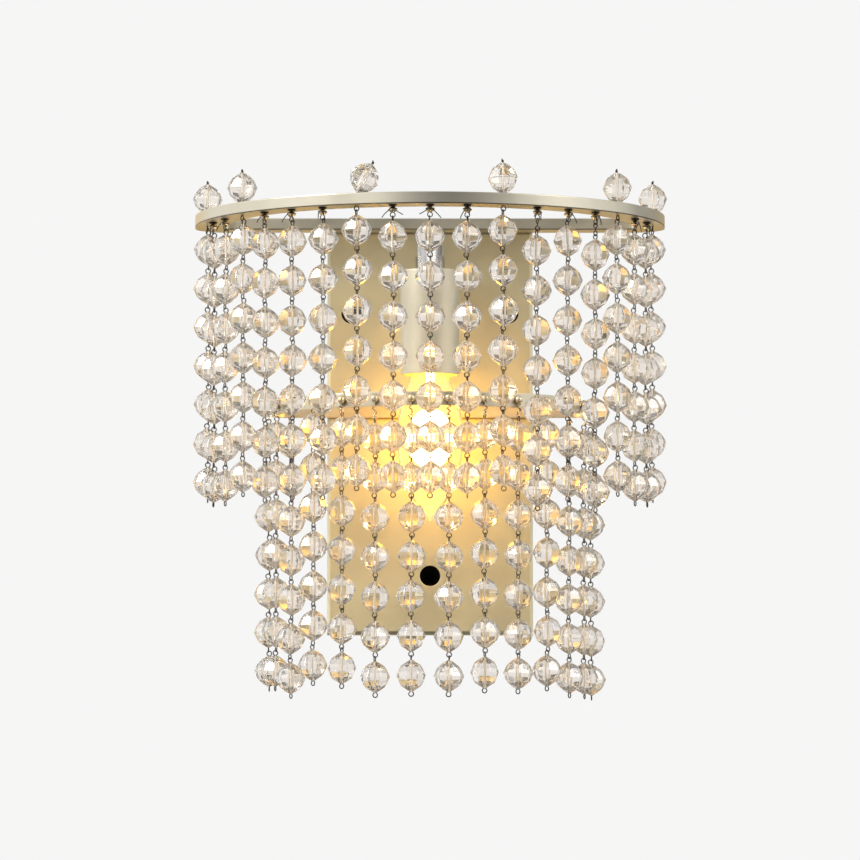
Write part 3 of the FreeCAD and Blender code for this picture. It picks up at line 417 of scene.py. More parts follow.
def crystal_glass(name):
    made, tree = material(name)
    shader = node(tree, "BsdfPrincipled", IOR=CRYSTAL_IOR, Transmission_Weight=1.0,
                  Coat_Weight=0.8, Coat_Roughness=0.20, Coat_IOR=COAT_IOR)
    swirl, near, path = noise(tree, 210.0, 2.0), near_lamp(tree), node(tree, "LightPath")
    cloudy = tint(tree, swirl, tuple(0.97 * c for c in CLEAR), CLEAR).outputs["Color"]
    # painted lamp light: beads in front of the lamp take a warm tint
    colour = between(tree, near, cloudy, PAINTED_LAMP_LIGHT)
    tree.links.new(colour, shader.inputs["Base Color"])
    tree.links.new(spread(tree, swirl, 0.0, 0.02), shader.inputs["Roughness"])
    bumped(tree, shader, swirl, 0.012, 0.0001)
    # painted glow of the beads in front of the lamp
    glow = node(tree, "Emission", Color=(*PAINTED_GLOW_COLOUR, 1.0))
    tree.links.new(maths(tree, "MULTIPLY", near, PAINTED_GLOW_POWER), glow.inputs["Strength"])
    glass = both(tree, shader.outputs["BSDF"], glow.outputs["Emission"])
    straight = node(tree, "BsdfTransparent")
    tree.links.new(colour, straight.inputs["Color"])
    glass = blend(tree, STRAIGHT_THROUGH, glass, straight.outputs["BSDF"])
    # painted glow in place of the light that the last bounces would bring
    spent = node(tree, "Emission", Strength=1.0)
    tree.links.new(between(tree, near, SPENT_ROOM_LIGHT, SPENT_LAMP_LIGHT), spent.inputs["Color"])
    late = maths(tree, "GREATER_THAN", path.outputs["Ray Depth"], LAST_BOUNCE)
    glass = blend(tree, late, glass, spent.outputs["Emission"])
    shadow = node(tree, "BsdfTransparent", Color=(*SHADOW_TONE, 1.0))
    output_of(tree, blend(tree, path.outputs["Is Shadow Ray"], glass, shadow.outputs["BSDF"]), None)
    return made


crystal = crystal_glass("bead_crystal")
bore_frost = moulded("ground_bore", (0.74, 0.70, 0.63), (0.86, 0.82, 0.75), 0.55, 1800.0, 0.2)
print("crystal finishes:", crystal.name, bore_frost.name)

# %% [markdown]
# ## Glowing bulb
# The bulb is switched on. Its glass is clear and faintly yellow, and a little cloudy, so that the
# glare inside has no sharp edge. The glare gives the pan and the undersides of both rings their
# amber light, so it is far stronger than anything that the room throws on them.

# %%
BULB_GLARE, SHOWN_GLARE = 20.0, 17.0
DEEP_AMBER, AMBER = (1.0, 0.53, 0.05), (1.0, 0.56, 0.06)
WARM_YELLOW, PALE_YELLOW = (1.0, 0.76, 0.42), (1.0, 0.80, 0.46)


def looked_at(tree):
    """One for what is seen directly or through glass, zero for light that falls on other parts."""
    path = node(tree, "LightPath")
    direct, through = path.outputs["Is Camera Ray"], path.outputs["Is Transmission Ray"]
    return maths(tree, "MAXIMUM", direct, through)


def bulb_glass(name):
    """Slightly cloudy glass to look at; the light of the lamp goes through it as through clear."""
    made, tree = material(name)
    glass = node(tree, "BsdfPrincipled", IOR=1.10, Transmission_Weight=1.0)
    swirl = noise(tree, 120.0, 2.0)
    cloudy = tint(tree, swirl, (1.0, 0.95, 0.78), (1.0, 0.97, 0.86))
    join(tree, cloudy, "Color", glass, "Base Color")
    tree.links.new(spread(tree, swirl, 0.20, 0.28), glass.inputs["Roughness"])
    glow = node(tree, "Emission", Color=(1.0, 0.80, 0.42, 1.0), Strength=0.10)
    lit = both(tree, glass.outputs["BSDF"], glow.outputs["Emission"])
    clear = node(tree, "BsdfTransparent", Color=(1.0, 0.95, 0.84, 1.0))
    output_of(tree, blend(tree, looked_at(tree), clear.outputs["BSDF"], lit), None)
    return made


def glare(name):
    """Seen directly or through glass it burns out to a pale tone; what it lights turns amber."""
    made, tree = material(name)
    flicker = noise(tree, 200.0, 2.0)
    lights, shows = (node(tree, "Emission", Strength=power) for power in (BULB_GLARE, SHOWN_GLARE))
    join(tree, tint(tree, flicker, DEEP_AMBER, AMBER), "Color", lights, "Color")
    join(tree, tint(tree, flicker, WARM_YELLOW, PALE_YELLOW), "Color", shows, "Color")
    mixed = blend(tree, looked_at(tree), lights.outputs["Emission"], shows.outputs["Emission"])
    output_of(tree, mixed, None)
    return made


warm_glass, filament_glare = bulb_glass("warm_bulb_glass"), glare("filament_glare")
print("bulb finishes:", warm_glass.name, filament_glare.name)

# %% [markdown]
# ## Finishes on the CAD parts
# The metal parts, the mouldings and the bulb keep their CAD shape and only take a finish. Only the
# beads, their wires and the upper hooks are built again further down.

# %%
FINISHES = {
    "backplate": pan_lacquer, "upper_ring": ring_lacquer, "lower_ring": champagne,
    "socket_sleeve": sleeve_lacquer, "wall_bracket": black_metal, "cover_screws": steel,
    "ring_screws": steel, "arm_nipple": steel, "arm_lock_nut": steel, "socket_nipple": steel,
    "socket_arm": chrome, "lower_hooks": pale_gold, "socket_shell": brass,
    "socket_contact": brass, "earth_screw": brass, "bulb_cap": cap_metal,
    "bulb_glass": warm_glass, "bulb_stem": filament_glare, "lamp_socket": insulator,
    "terminal_block": block_plastic, "terminal_screws": steel, "socket_leads": lead_cover,
    "cable_grommet": rubber,
}


def finish(thing, look):
    thing.data.materials.clear()
    thing.data.materials.append(look)


for part, look in FINISHES.items():
    finish(nodes[part], look)
print("finished CAD parts:", len(FINISHES))

# %% [markdown]
# ## Bead shape
# One bead is a 16 mm ball cut with rows of eight facets: two rows of five-sided ones meet at the
# widest line, two rows of kites follow towards each end, and narrow triangles run up to a small
# flat round the bore. Crown and collar are set so that every facet is flat. The edges are eased by
# a fifth of a millimetre, as fire polishing does, and catch fine lines of light. The wall of the
# bore is ground and not polished, so it shows as a pale line round the wire.
# Rows are a radius and a height, and lengths are in metres here and below.

# %%
BEAD_HALF_WIDTH = 0.0080
SHOULDER = (0.006341, 0.003794)
CROWN = (0.005280, 0.005226)
COLLAR = (0.003500, 0.006568)
END_RADIUS = 0.0009
HALF_HEIGHT = 0.0081
BORE = 0.0006
LINING_OUTSIDE, LINING_INSIDE, LINING_END = 0.00053, 0.00043, 0.0079
FACETS = 8
EASED = 0.00018


def bead_mesh():
    """The bead's points and faces, eased along its edges."""
    mesh = bmesh.new()
    step = math.pi / FACETS

    def row(radius, height, shift):
        turns = [(2 * n + shift) * step for n in range(FACETS)]
        return [mesh.verts.new((radius * math.cos(t), radius * math.sin(t), height)) for t in turns]

    girdle = row(BEAD_HALF_WIDTH, 0.0, 1)
    mouths = []
    for up in (1, -1):
        shoulder = row(SHOULDER[0], up * SHOULDER[1], 1)
        crown = row(CROWN[0], up * CROWN[1], 0)
        collar = row(COLLAR[0], up * COLLAR[1], 1)
        end = row(END_RADIUS, up * HALF_HEIGHT, 0)
        mouth = row(BORE, up * HALF_HEIGHT, 0)
        mouths.append(mouth)
        for n in range(FACETS):
            before, after = (n - 1) % FACETS, (n + 1) % FACETS
            side = [girdle[before], girdle[n], shoulder[n], crown[n], shoulder[before]]
            low_kite = [shoulder[n], crown[after], collar[n], crown[n]]
            high_kite = [crown[n], collar[n], end[n], collar[before]]
            tip = [collar[n], end[after], end[n]]
            flat = [end[n], end[after], mouth[after], mouth[n]]
            for corners in (side, low_kite, high_kite, tip, flat):
                mesh.faces.new(corners if up > 0 else corners[::-1])
    for n in range(FACETS):
        after = (n + 1) % FACETS
        mesh.faces.new([mouths[0][n], mouths[0][after], mouths[1][after], mouths[1][n]])
    outside = [e for e in mesh.edges if max(v.co.xy.length for v in e.verts) > 2 * END_RADIUS]
    bmesh.ops.bevel(mesh, geom=outside, offset=EASED, segments=1, affect="EDGES", profile=0.5)
    bmesh.ops.recalc_face_normals(mesh, faces=mesh.faces)
    mesh.verts.index_update()
    points = [v.co.copy() for v in mesh.verts]
    faces = [[v.index for v in f.verts] for f in mesh.faces]
    mesh.free()
    return points, faces


def circle(radius, height, sides):
    """Points round a level circle."""
    turns = [2 * math.pi * k / sides for k in range(sides)]
    return [Vector((radius * math.cos(turn), radius * math.sin(turn), height)) for turn in turns]


def band(first, second, sides):
    """Faces between two circles of points, given by their numbers."""
    first, second = first * sides, second * sides
    around = [(k, (k + 1) % sides) for k in range(sides)]
    return [[first + k, second + k, second + after, first + after] for k, after in around]


def bore_lining(sides=12):
    """The ground wall of the bore, a thin sleeve that the wire runs through."""
    outline = ((LINING_OUTSIDE, LINING_END), (LINING_OUTSIDE, -LINING_END),
               (LINING_INSIDE, -LINING_END), (LINING_INSIDE, LINING_END))
    points = [point for radius, height in outline for point in circle(radius, height, sides)]
    faces = [face for i in range(4) for face in band(i, (i + 1) % 4, sides)]
    return points, faces


BEAD_POINTS, BEAD_FACES = bead_mesh()
BORE_POINTS, BORE_FACES = bore_lining()
print("one bead:", len(BEAD_POINTS), "points", len(BEAD_FACES), "faces")

# %% [markdown]
# ## Wire shape
# Each bead sits on one eye pin: a wire through the bore, bent into a small loop at both ends.
# The upper loop stands edge-on to the front and the lower one faces it, so that the loops of two
# pins hang crosswise in each other. No two bends are alike, because such pins are closed by hand.
# A pin reaches from the bead's middle to the middle of each loop, and the link that two strands
# have on top is two such loops on a short wire. Openings are in degrees.

# %%
LOOP_RADIUS = 0.00125
WIRE_RADIUS = 0.00030
PIN_REACH = 0.009345
LINK_STEP = 0.00190
BEAD_PITCH = 0.02059
FIRST_DROP = 0.000555
LONG_LINK = 0.00402
WIRE_SIDES, LOOP_STEPS = 8, 16
LEAST_OPEN, MOST_OPEN = 16, 34
STRAIGHT_END, ASKEW = 0.0012, 0.0001


class Pieces:
    """Collects points and faces of many copies into one mesh."""

    def __init__(self):
        self.points, self.faces, self.smooth = [], [], []

    def add(self, points, faces, place, smooth=False):
        start = len(self.points)
        self.points += [place @ p for p in points]
        self.faces += [[start + i for i in f] for f in faces]
        self.smooth += [smooth] * len(faces)

    def thing(self, name, look):
        mesh = bpy.data.meshes.new(name)
        mesh.from_pydata([tuple(p) for p in self.points], [], self.faces)
        mesh.polygons.foreach_set("use_smooth", self.smooth)
        mesh.materials.append(look)
        mesh.update()
        made = bpy.data.objects.new(name, mesh)
        scene.collection.objects.link(made)
        return made


def wire(path, radius=WIRE_RADIUS):
    """A round wire along a path, closed at both ends, with rings that don't twist."""
    points, faces = [], []
    across, sides = None, WIRE_SIDES
    for i, here in enumerate(path):
        along = (path[min(i + 1, len(path) - 1)] - path[max(i - 1, 0)]).normalized()
        if across is None:
            across = along.orthogonal().normalized()
        across = (across - along * across.dot(along)).normalized()
        other = along.cross(across)
        for s in range(sides):
            turn = 2 * math.pi * s / sides
            points.append(here + radius * (math.cos(turn) * across + math.sin(turn) * other))
    for i in range(len(path) - 1):
        for s in range(sides):
            t = (s + 1) % sides
            faces.append([i * sides + s, i * sides + t, (i + 1) * sides + t, (i + 1) * sides + s])
    faces.append(list(range(sides))[::-1])
    faces.append([(len(path) - 1) * sides + s for s in range(sides)])
    return points, faces


def loop_path(level, up, facing, opening):
    """From the open end of a loop round to its neck, where the straight wire starts."""
    path = []
    for k in range(LOOP_STEPS + 1):
        turn = math.radians(opening + (360.0 - opening) * k / LOOP_STEPS)
        sideways, height = LOOP_RADIUS * math.sin(turn), level - up * LOOP_RADIUS * math.cos(turn)
        path.append(Vector((sideways, 0, height) if facing else (0, sideways, height)))
    return path


def eye_pin(rng, straight_end=False, top=PIN_REACH, low=-PIN_REACH):
    """The path of one pin from the open end of its upper loop to that of its lower loop."""
    upper = loop_path(top, 1, False, rng.uniform(LEAST_OPEN, MOST_OPEN))
    if straight_end:
        lower = [Vector((0, 0, low + LOOP_RADIUS)), Vector((ASKEW, 0, low - STRAIGHT_END))]
    else:
        lower = loop_path(low, -1, True, rng.uniform(LEAST_OPEN, MOST_OPEN))[::-1]
    return upper + lower


print("wire of", round(2000 * WIRE_RADIUS, 2), "mm")

# %% [markdown]
# ## Strands
# A strand is seven beads on seven pins, hooked into an eye under its ring. Two strands near the
# right hang on one link more, as the photograph shows, and one ends in a straight wire.
# Beads turn freely on their pins, so each stands at its own angle and leans a little on its wire.
# The loops are bent by hand and hang a little unevenly, so no two neighbours are quite level.
# A strand is built at its hook, with X along the ring and Y inwards. A bead that would stand out
# past the side of the CAD box is set inwards by as much.

# %%
BEADS_PER_STRAND = 7
LONG_LINK_STRANDS = ("upper_strand_13", "upper_strand_15")
STRAIGHT_END_STRANDS = ("upper_strand_11",)
FIRST_STRAND_SEED = 100
AWRY = 0.00022
MOST_LEAN = 2.2
MOST_SAG, SAG_STEP = 0.0008, (-0.00022, 0.00030)
FLAT_REACH = BEAD_HALF_WIDTH * math.cos(math.pi / FACETS)
BOX_GAP = 0.00004


def facing_in(joint):
    """The turn about the upright that brings X along the ring and Y inwards at a strand's hook."""
    return Matrix.Rotation(math.atan2(-joint["axis"][1], -joint["axis"][0]), 4, "Z")


def kept_inside(place):
    """The move inwards that keeps a bead at this place within the sides of the CAD box."""
    spill = max(abs((place @ point).x) for point in BEAD_POINTS) - cad_box[1].x
    return Matrix.Translation((0, spill + BOX_GAP if spill > 0 else 0, 0))


def build_strand(name, place, seed):
    rng = random.Random(seed)
    beads, bores, pins = Pieces(), Pieces(), Pieces()
    level = -FIRST_DROP
    sag = 0.0
    if name in LONG_LINK_STRANDS:
        pins.add(*wire(eye_pin(rng, False, level, level - LONG_LINK)), place, True)
        level -= LONG_LINK + LINK_STEP
    for number in range(BEADS_PER_STRAND):
        middle = level - PIN_REACH - number * BEAD_PITCH + sag
        degrees, axis = rng.uniform(-MOST_LEAN, MOST_LEAN), rng.choice("XY")
        lean = Matrix.Rotation(math.radians(degrees), 4, axis)
        turn = Matrix.Rotation(rng.uniform(0, 2 * math.pi), 4, "Z")
        reach = max(-(lean @ turn @ point).y for point in BEAD_POINTS)
        set_in = max(0.0, reach - FLAT_REACH) + rng.uniform(AWRY, 2 * AWRY)
        centre = Matrix.Translation((rng.uniform(-AWRY, AWRY), set_in, middle))
        centre = kept_inside(place @ centre @ lean @ turn) @ centre
        sag = max(0.0, min(MOST_SAG, sag + rng.uniform(*SAG_STEP)))
        beads.add(BEAD_POINTS, BEAD_FACES, place @ centre @ lean @ turn)
        bores.add(BORE_POINTS, BORE_FACES, place @ centre @ lean, True)
        straight_end = number == BEADS_PER_STRAND - 1 and name in STRAIGHT_END_STRANDS
        pins.add(*wire(eye_pin(rng, straight_end)), place @ centre @ lean, True)
    body = name
    for part, slot in ((beads.thing(name + "_beads", crystal), "crystal"),
                       (bores.thing(name + "_bores", bore_frost), "crystal"),
                       (pins.thing(name + "_pins", wire_metal), "pin_wire")):
        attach(part, body)
        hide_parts(name)


strand_joints = [j for j in frame["joints"] if j["child"] != "bulb"]
for number, joint in enumerate(strand_joints):
    place = Matrix.Translation(Vector(joint["pos_m"])) @ facing_in(joint)
    build_strand(joint["child"], place, FIRST_STRAND_SEED + number)
UPPER_STRANDS = sum(joint["child"].startswith("upper") for joint in strand_joints)
print("strands:", len(strand_joints), "beads:", BEADS_PER_STRAND * len(strand_joints))

# %% [markdown]
# ## Beads on top of the upper ring
# Six strands hang on wires that go up through the ring and carry one more bead on top of it, held
# down by a small knot in the wire. The third of them leans to the right on its bent wire.
# Leans are in degrees.

# %%
TOP_STRANDS = ("upper_strand_01", "upper_strand_04", "upper_strand_08", "upper_strand_12",
               "upper_strand_16", "upper_strand_19")
TOP_BEAD_RISE = 0.01687
LEANING_STRAND, FULL_LEAN, LEAN_RISE = "upper_strand_08", 31.0, 0.0011
TOP_LEAN, TOP_EYE_OPEN, TOP_SEED = 4, 24.0, 11
KNOT_TURNS, KNOT_RADIUS, KNOT_TAPER = 1.7, 0.00050, 0.35
KNOT_FOOT, KNOT_HEIGHT, TIP_HEIGHT, TIP_ASIDE = 0.0003, 0.0011, 0.0005, 0.0004
WIRE_BEND = 0.0006


def knotted_tip(rng, steps=20):
    """The end of the wire over the bead: a small coil that holds the bead down, and its cut tip."""
    start = rng.uniform(0, 2 * math.pi)
    knot = []
    for k in range(steps + 1):
        share = k / steps
        turn = start + 2 * math.pi * KNOT_TURNS * share
        reach = KNOT_RADIUS * (1.0 - KNOT_TAPER * share)
        rise = KNOT_FOOT + KNOT_HEIGHT * share
        knot.append(Vector((reach * math.cos(turn), reach * math.sin(turn), rise)))
    return knot + [knot[-1] + Vector((rng.uniform(-TIP_ASIDE, TIP_ASIDE), 0.0, TIP_HEIGHT))]


def build_top_beads():
    rng = random.Random(TOP_SEED)
    beads, bores, pins = Pieces(), Pieces(), Pieces()
    for joint in strand_joints:
        if joint["child"] not in TOP_STRANDS:
            continue
        place = Matrix.Translation(Vector(joint["pos_m"])) @ facing_in(joint)
        leaning = joint["child"] == LEANING_STRAND
        degrees = FULL_LEAN if leaning else rng.uniform(-TOP_LEAN, TOP_LEAN)
        lean = Matrix.Rotation(math.radians(degrees), 4, "Y")
        turn = Matrix.Rotation(rng.uniform(0, 2 * math.pi), 4, "Z")
        up = Matrix.Translation((0, 0, HALF_HEIGHT))
        level = TOP_BEAD_RISE - HALF_HEIGHT + (LEAN_RISE if leaning else 0.0)
        foot = Matrix.Translation((0, 0, level))
        foot = kept_inside(place @ (foot @ lean @ up @ turn)) @ foot
        middle = place @ foot @ lean @ up
        beads.add(BEAD_POINTS, BEAD_FACES, middle @ turn)
        bores.add(BORE_POINTS, BORE_FACES, middle, True)
        tip = foot @ lean @ Matrix.Translation((0, 0, 2 * HALF_HEIGHT))
        eye = loop_path(LOOP_RADIUS, -1, True, TOP_EYE_OPEN)
        rise = [Vector((0, 0, 3 * LOOP_RADIUS)), foot @ Vector((0, 0, -WIRE_BEND)),
                foot @ lean @ Vector((0, 0, WIRE_BEND)), tip @ Vector((0, 0, -KNOT_FOOT))]
        knot = [tip @ point for point in knotted_tip(rng)]
        pins.add(*wire(eye + rise + knot), place, True)
    made = ((beads.thing("top_crystal", crystal), "crystal", "top_beads"),
            (bores.thing("top_bores", bore_frost), "crystal", "top_beads"),
            (pins.thing("top_wires", wire_metal), "pin_wire", "top_bead_pins"))
    for part, slot, stands_for in made:
        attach(part, "frame")
        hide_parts(stands_for)


build_top_beads()
print("beads on the ring:", len(TOP_STRANDS))

# %% [markdown]
# ## Hooks under the upper ring
# Where a strand doesn't pass through the ring, a stud with a dark washer and a small polished knob
# is pressed into its underside. The first loop of the strand hangs from a wire round the knob, and
# the cut ends of that wire stick out on both sides, a little differently on each hook.

# %%
WASHER = ((0.00170, 0.0), (0.00208, -0.00022), (0.00212, -0.00060), (0.00186, -0.00088),
          (0.00120, -0.00100))
KNOB = ((0.00110, -0.00095), (0.00105, -0.00115), (0.00168, -0.00150), (0.00212, -0.00215),
        (0.00214, -0.00280), (0.00176, -0.00345), (0.00100, -0.00385))
WOUND_STEPS, WOUND_REACH, WOUND_TURNS = 32, 0.00218, (0.8, 1.3)
WOUND_LEVEL, WOUND_DROP = -0.0019, 0.0008
WOUND_WIRE, CUT_WIRE = 0.00026, 0.00024
CUT_FOOT, CUT_AHEAD = (0.0013, -0.0018, -0.0026), 0.0004
CUT_OUT, CUT_LOW = (-0.0008, 0.0046), (0.0022, 0.0050)
BEND_OUT, BEND_LOW = (0.35, 0.75), (0.3, 0.6)
EYE_ANGLES = range(165, -151, -15)
LEAST_DROP, EYE_TOP = 0.0008, 0.0026
HOOK_SEED = 29


def turned(profile, sides=24):
    """A solid of revolution from radius and height pairs, closed at both ends."""
    points = [point for radius, height in profile for point in circle(radius, height, sides)]
    faces = [face for i in range(len(profile) - 1) for face in band(i, i + 1, sides)]
    faces.append(list(range(sides)))
    faces.append([(len(profile) - 1) * sides + k for k in range(sides)][::-1])
    return points, faces


def curve(start, bend, end, steps=10):
    """A smooth path from a start to an end that is drawn towards a bend on its way."""
    shares = [k / steps for k in range(steps + 1)]
    return [start * (1 - t) ** 2 + bend * 2 * t * (1 - t) + end * t ** 2 for t in shares]


def hook_wires(rng, drop):
    """A wire wound round the knob and on into the eye for the strand, and its two cut ends."""
    start, turns = rng.uniform(0, 2 * math.pi), rng.uniform(*WOUND_TURNS)
    wound = []
    for k in range(WOUND_STEPS + 1):
        turn = start + 2 * math.pi * turns * k / WOUND_STEPS
        wound.append(Vector((WOUND_REACH * math.cos(turn), WOUND_REACH * math.sin(turn),
                             WOUND_LEVEL - WOUND_DROP * k / WOUND_STEPS)))
    last = wound[-1]
    eye = [Vector((LOOP_RADIUS * math.sin(t), 0, drop + LOOP_RADIUS - LOOP_RADIUS * math.cos(t)))
           for t in (math.radians(angle) for angle in EYE_ANGLES)]
    down = Vector((0.5 * last.x, 0.5 * last.y, min(last.z - LEAST_DROP, drop + EYE_TOP)))
    paths = [(wound + [down] + eye, WOUND_WIRE)]
    for side in (-1, 1):
        foot = Vector((side * CUT_FOOT[0], CUT_FOOT[1], CUT_FOOT[2]))
        out, low = rng.uniform(*CUT_OUT), rng.uniform(*CUT_LOW)
        bend_out, bend_low = out * rng.uniform(*BEND_OUT), low * rng.uniform(*BEND_LOW)
        bend = foot + Vector((side * bend_out, -CUT_AHEAD, -bend_low))
        paths.append((curve(foot, bend, foot + Vector((side * out, -CUT_AHEAD, -low))), CUT_WIRE))
    return paths


def build_hooks():
    rng = random.Random(HOOK_SEED)
    washers, knobs, wires = Pieces(), Pieces(), Pieces()
    for joint in strand_joints:
        if not joint["child"].startswith("upper") or joint["child"] in TOP_STRANDS:
            continue
        hook = Vector(joint["pos_m"])
        place = Matrix.Translation((hook.x, hook.y, RING_FOOT)) @ facing_in(joint)
        washers.add(*turned(WASHER), place, True)
        knobs.add(*turned(KNOB), place, True)
        for path, radius in hook_wires(rng, hook.z - RING_FOOT):
            wires.add(*wire(path, radius), place, True)
    for part, slot in ((washers.thing("hook_washers", gunmetal), "gunmetal"),
                       (knobs.thing("hook_knobs", knob_metal), "gunmetal"),
                       (wires.thing("hook_wires", wire_metal), "pin_wire")):
        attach(part, "frame")
        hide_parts("upper_hooks")


build_hooks()
print("hooks under the upper ring:", UPPER_STRANDS - len(TOP_STRANDS))

# %% [markdown]
# ## Wire ends under the lower hooks
# A lower strand hangs on a wire hook with a ball for a head. Under each ball the spare end of the
# wire is wound loosely round the hook's stem, about one and a half to two and a half turns.

# %%
BALL_REACH, LONGEST_STEM = 0.0016, 0.0104
BALL_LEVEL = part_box("lower_hooks")[1].z - BALL_REACH
CURL_LOW, LEAST_CURL, CURL_STEPS = 0.0016, 0.0012, 36
CURL_RADIUS, CURL_BELLY, CURL_WIRE = 0.00062, 0.00045, 0.00025
CURL_TURNS, CURL_SPREAD = (1.4, 2.6), 0.001
TAIL_ASIDE, TAIL_AHEAD, TAIL_DROP = (0.0006, 0.0016), 0.0004, 0.0014
CURL_SEED = 47


def build_curls():
    rng = random.Random(CURL_SEED)
    curls = Pieces()
    for joint in strand_joints:
        if not joint["child"].startswith("lower"):
            continue
        eye = Vector(joint["pos_m"])
        place = Matrix.Translation(eye) @ facing_in(joint)
        start, turns = rng.uniform(0, 2 * math.pi), rng.uniform(*CURL_TURNS)
        top = min(BALL_LEVEL - eye.z, LONGEST_STEM) - BALL_REACH
        low = min(CURL_LOW + rng.uniform(0, CURL_SPREAD), top - LEAST_CURL)
        path = []
        for k in range(CURL_STEPS + 1):
            share = k / CURL_STEPS
            turn = start + 2 * math.pi * turns * share
            wide = CURL_RADIUS + CURL_BELLY * math.sin(math.pi * share)
            height = top + (low - top) * share
            path.append(Vector((wide * math.cos(turn), wide * math.sin(turn), height)))
        aside = rng.choice((-1, 1)) * rng.uniform(*TAIL_ASIDE)
        tail = Vector((aside, -TAIL_AHEAD, -rng.uniform(0.0, TAIL_DROP)))
        curls.add(*wire(path + [path[-1] + tail], CURL_WIRE), place, True)
    made = curls.thing("lower_hook_curls", wire_metal)
    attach(made, "frame")


build_curls()
print("wire ends under the lower hooks:", len(strand_joints) - UPPER_STRANDS)

# %% [markdown]
# ## Glare in the bulb
# The filaments can't be told apart in the photograph: they and the glare round them are one barrel
# of light, 25 mm wide and 33 mm high. It is built as such round the CAD stem that carries them.

# %%
bulb_low, bulb_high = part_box("bulb_glass")
BARREL_FOOT, BARREL_TOP, BARREL_RADIUS = 0.0270, 0.0600, 0.0126
BARREL_STEPS, BARREL_SIDES, BARREL_BULGE, LEAST_SHARE = 16, 40, 0.55, 0.06
GLARE_LOW, GLARE_HIGH = bulb_low.z + BARREL_FOOT, bulb_low.z + BARREL_TOP
barrel = []
for step in range(BARREL_STEPS + 1):
    share = step / BARREL_STEPS
    wide = BARREL_RADIUS * max(LEAST_SHARE, math.sin(math.pi * share) ** BARREL_BULGE)
    barrel.append((wide, GLARE_HIGH + (GLARE_LOW - GLARE_HIGH) * share))
bulb_axis = Matrix.Translation(((bulb_low.x + bulb_high.x) / 2, (bulb_low.y + bulb_high.y) / 2, 0))
glow = Pieces()
glow.add(*turned(barrel, BARREL_SIDES), bulb_axis, True)
light_core = glow.thing("filament_light", filament_glare)
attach(light_core, "bulb")
print("glare from", round(GLARE_LOW, 4), "to", round(GLARE_HIGH, 4))

# %% [markdown]
# ## The wall behind the holes
# On a wall, the three access holes of the pan look through the bracket's screw holes onto the wall.
# Here the wall isn't drawn, so a small black disc behind each of them stands for it in the shade.

# %%
shade_black, tree = material("wall_in_shade")
shader = node(tree, "BsdfPrincipled", Roughness=0.9)
shade_tone = tint(tree, noise(tree, 500.0), (0.004, 0.004, 0.004), (0.010, 0.009, 0.009))
join(tree, shade_tone, "Color", shader, "Base Color")
output_of(tree, shader)
PLUG = ((0.0045, 0.0004), (0.0045, 0.0), (0.0040, -0.0001))
PLUG_DEPTH = 0.0006
HOLES = ((0.0, -0.0785), (-0.042, 0.0622), (0.042, 0.0622))
plugs = Pieces()
upright = Matrix.Rotation(math.pi / 2, 4, "X")
for x, z in HOLES:
    plugs.add(*turned(PLUG), Matrix.Translation((x, PLUG_DEPTH, z)) @ upright)
plugs.thing("wall_in_shade", shade_black)
print("wall discs:", len(HOLES))

# %% [markdown]
# ## Light
# The photograph is a studio picture: broad soft light from the left and the right, a darker side
# towards the camera, and a white surround. The world draws the surround for the camera. For metal
# it draws the room round about, in degrees from the camera's side, because the front of the upper
# ring mirrors it: dark in the middle, bright to both sides and dark again at the far right. Towards
# the wall metal mirrors the amber that the lamp throws on it. For glass the world draws a plainer
# room, with a greyer floor, wall and camera side. The world itself lights the object only weakly.

# %%
SURROUND, ROOM_LIGHT = 0.92, 0.30
SURROUND_WHITE, ROOM_WHITE = (1.0, 1.0, 0.995, 1.0), (1.0, 0.995, 0.985)
GLASS_WHITE, LIT_WALL = (1.0, 0.98, 0.96, 1.0), (1.0, 0.72, 0.34)
STUDIO_ROUND = ((-180, 0.80), (-122, 0.95), (-96, 0.92), (-60, 0.72), (-30, 0.66), (-17, 0.44),
                (-4, 0.03), (8, 0.03), (24, 0.32), (48, 0.52), (70, 0.90), (100, 0.92), (124, 0.25),
                (150, 0.45), (180, 0.80))

world = bpy.data.worlds.new("studio")
scene.world = world
world.use_nodes = True
tree = world.node_tree
tree.nodes.clear()
place, parts, path = node(tree, "TexCoord"), node(tree, "SeparateXYZ"), node(tree, "LightPath")
join(tree, place, "Generated", parts, "Vector")
across, depth, height = (parts.outputs[axis] for axis in "XYZ")


def background(strength, colour):
    made = node(tree, "Background")
    feed(tree, strength, made.inputs["Strength"])
    feed(tree, colour, made.inputs["Color"])
    return made.outputs["Background"]


turn_round = maths(tree, "ARCTAN2", across, maths(tree, "MULTIPLY", depth, -1.0))
share_round = maths(tree, "DIVIDE", turn_round, 2 * math.pi)
studio = node(tree, "ValToRGB")
studio.color_ramp.interpolation = "EASE"
while len(studio.color_ramp.elements) < len(STUDIO_ROUND):
    studio.color_ramp.elements.new(0.5)
for element, (degrees, value) in zip(studio.color_ramp.elements, STUDIO_ROUND):
    element.position = 0.5 + degrees / 360.0
    element.color = (value, value, value, 1.0)
tree.links.new(maths(tree, "ADD", share_round, 0.5), studio.inputs["Fac"])

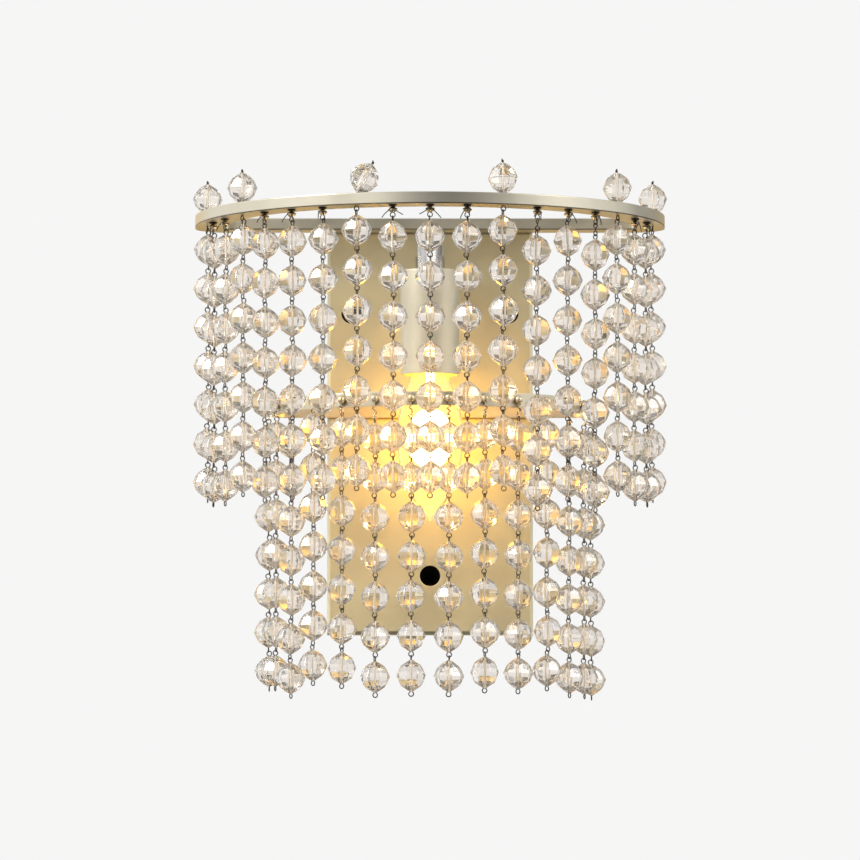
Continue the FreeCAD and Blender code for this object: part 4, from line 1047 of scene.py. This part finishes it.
below = ranged(tree, height, -0.75, -0.12, 0.14, 1.0, soft=True)
towards_wall = ranged(tree, depth, 0.70, 0.96, 0.0, 1.0, soft=True)
amber_wall = between(tree, towards_wall, ROOM_WHITE, LIT_WALL)
in_metal = background(maths(tree, "MULTIPLY", studio.outputs["Color"], below), amber_wall)

floor_shade = ranged(tree, height, -0.60, -0.10, 0.86, 1.0, soft=True)
wall_light = ranged(tree, depth, 0.60, 0.97, 0.76, 0.90, soft=True)
camera_side = ranged(tree, depth, -0.97, -0.78, 0.22, 1.0, soft=True)
plain_room = maths(tree, "MULTIPLY", maths(tree, "MULTIPLY", floor_shade, wall_light), camera_side)
in_glass = background(plain_room, GLASS_WHITE)

weak_light = background(ROOM_LIGHT, (*ROOM_WHITE, 1.0))
on_object = blend(tree, path.outputs["Is Glossy Ray"], weak_light, in_metal)
on_object = blend(tree, path.outputs["Is Transmission Ray"], on_object, in_glass)
seen = blend(tree, path.outputs["Is Camera Ray"], on_object, background(SURROUND, SURROUND_WHITE))
tree.links.new(seen, node(tree, "OutputWorld").inputs["Surface"])


def soft_light(name, place, target, size, power, colour):
    lamp = bpy.data.lights.new(name, "AREA")
    lamp.shape = "RECTANGLE"
    lamp.size, lamp.size_y = size
    lamp.energy = power
    lamp.color = colour
    made = bpy.data.objects.new(name, lamp)
    made.location = place
    made.rotation_euler = (Vector(target) - Vector(place)).to_track_quat("-Z", "Y").to_euler()
    scene.collection.objects.link(made)


LAMP_WHITE, FILL_WHITE = (1.0, 0.99, 0.97), (1.0, 0.99, 0.98)
soft_light("key_light", (-1.37, -0.61, 1.17), (0, -0.08, 0.0), (0.75, 0.75), 27.0, LAMP_WHITE)
soft_light("front_light", (-0.42, -0.95, 0.26), (0, 0, 0.07), (0.35, 0.35), 0.35, LAMP_WHITE)
soft_light("fill_light", (1.43, -0.82, 0.95), (0, -0.08, 0.0), (0.7, 0.9), 10.0, FILL_WHITE)
# Light needs many turns to find its way through a curtain of beads
scene.cycles.max_bounces = 20
scene.cycles.transmission_bounces = 20
scene.cycles.transparent_max_bounces = 24
scene.cycles.glossy_bounces = 6
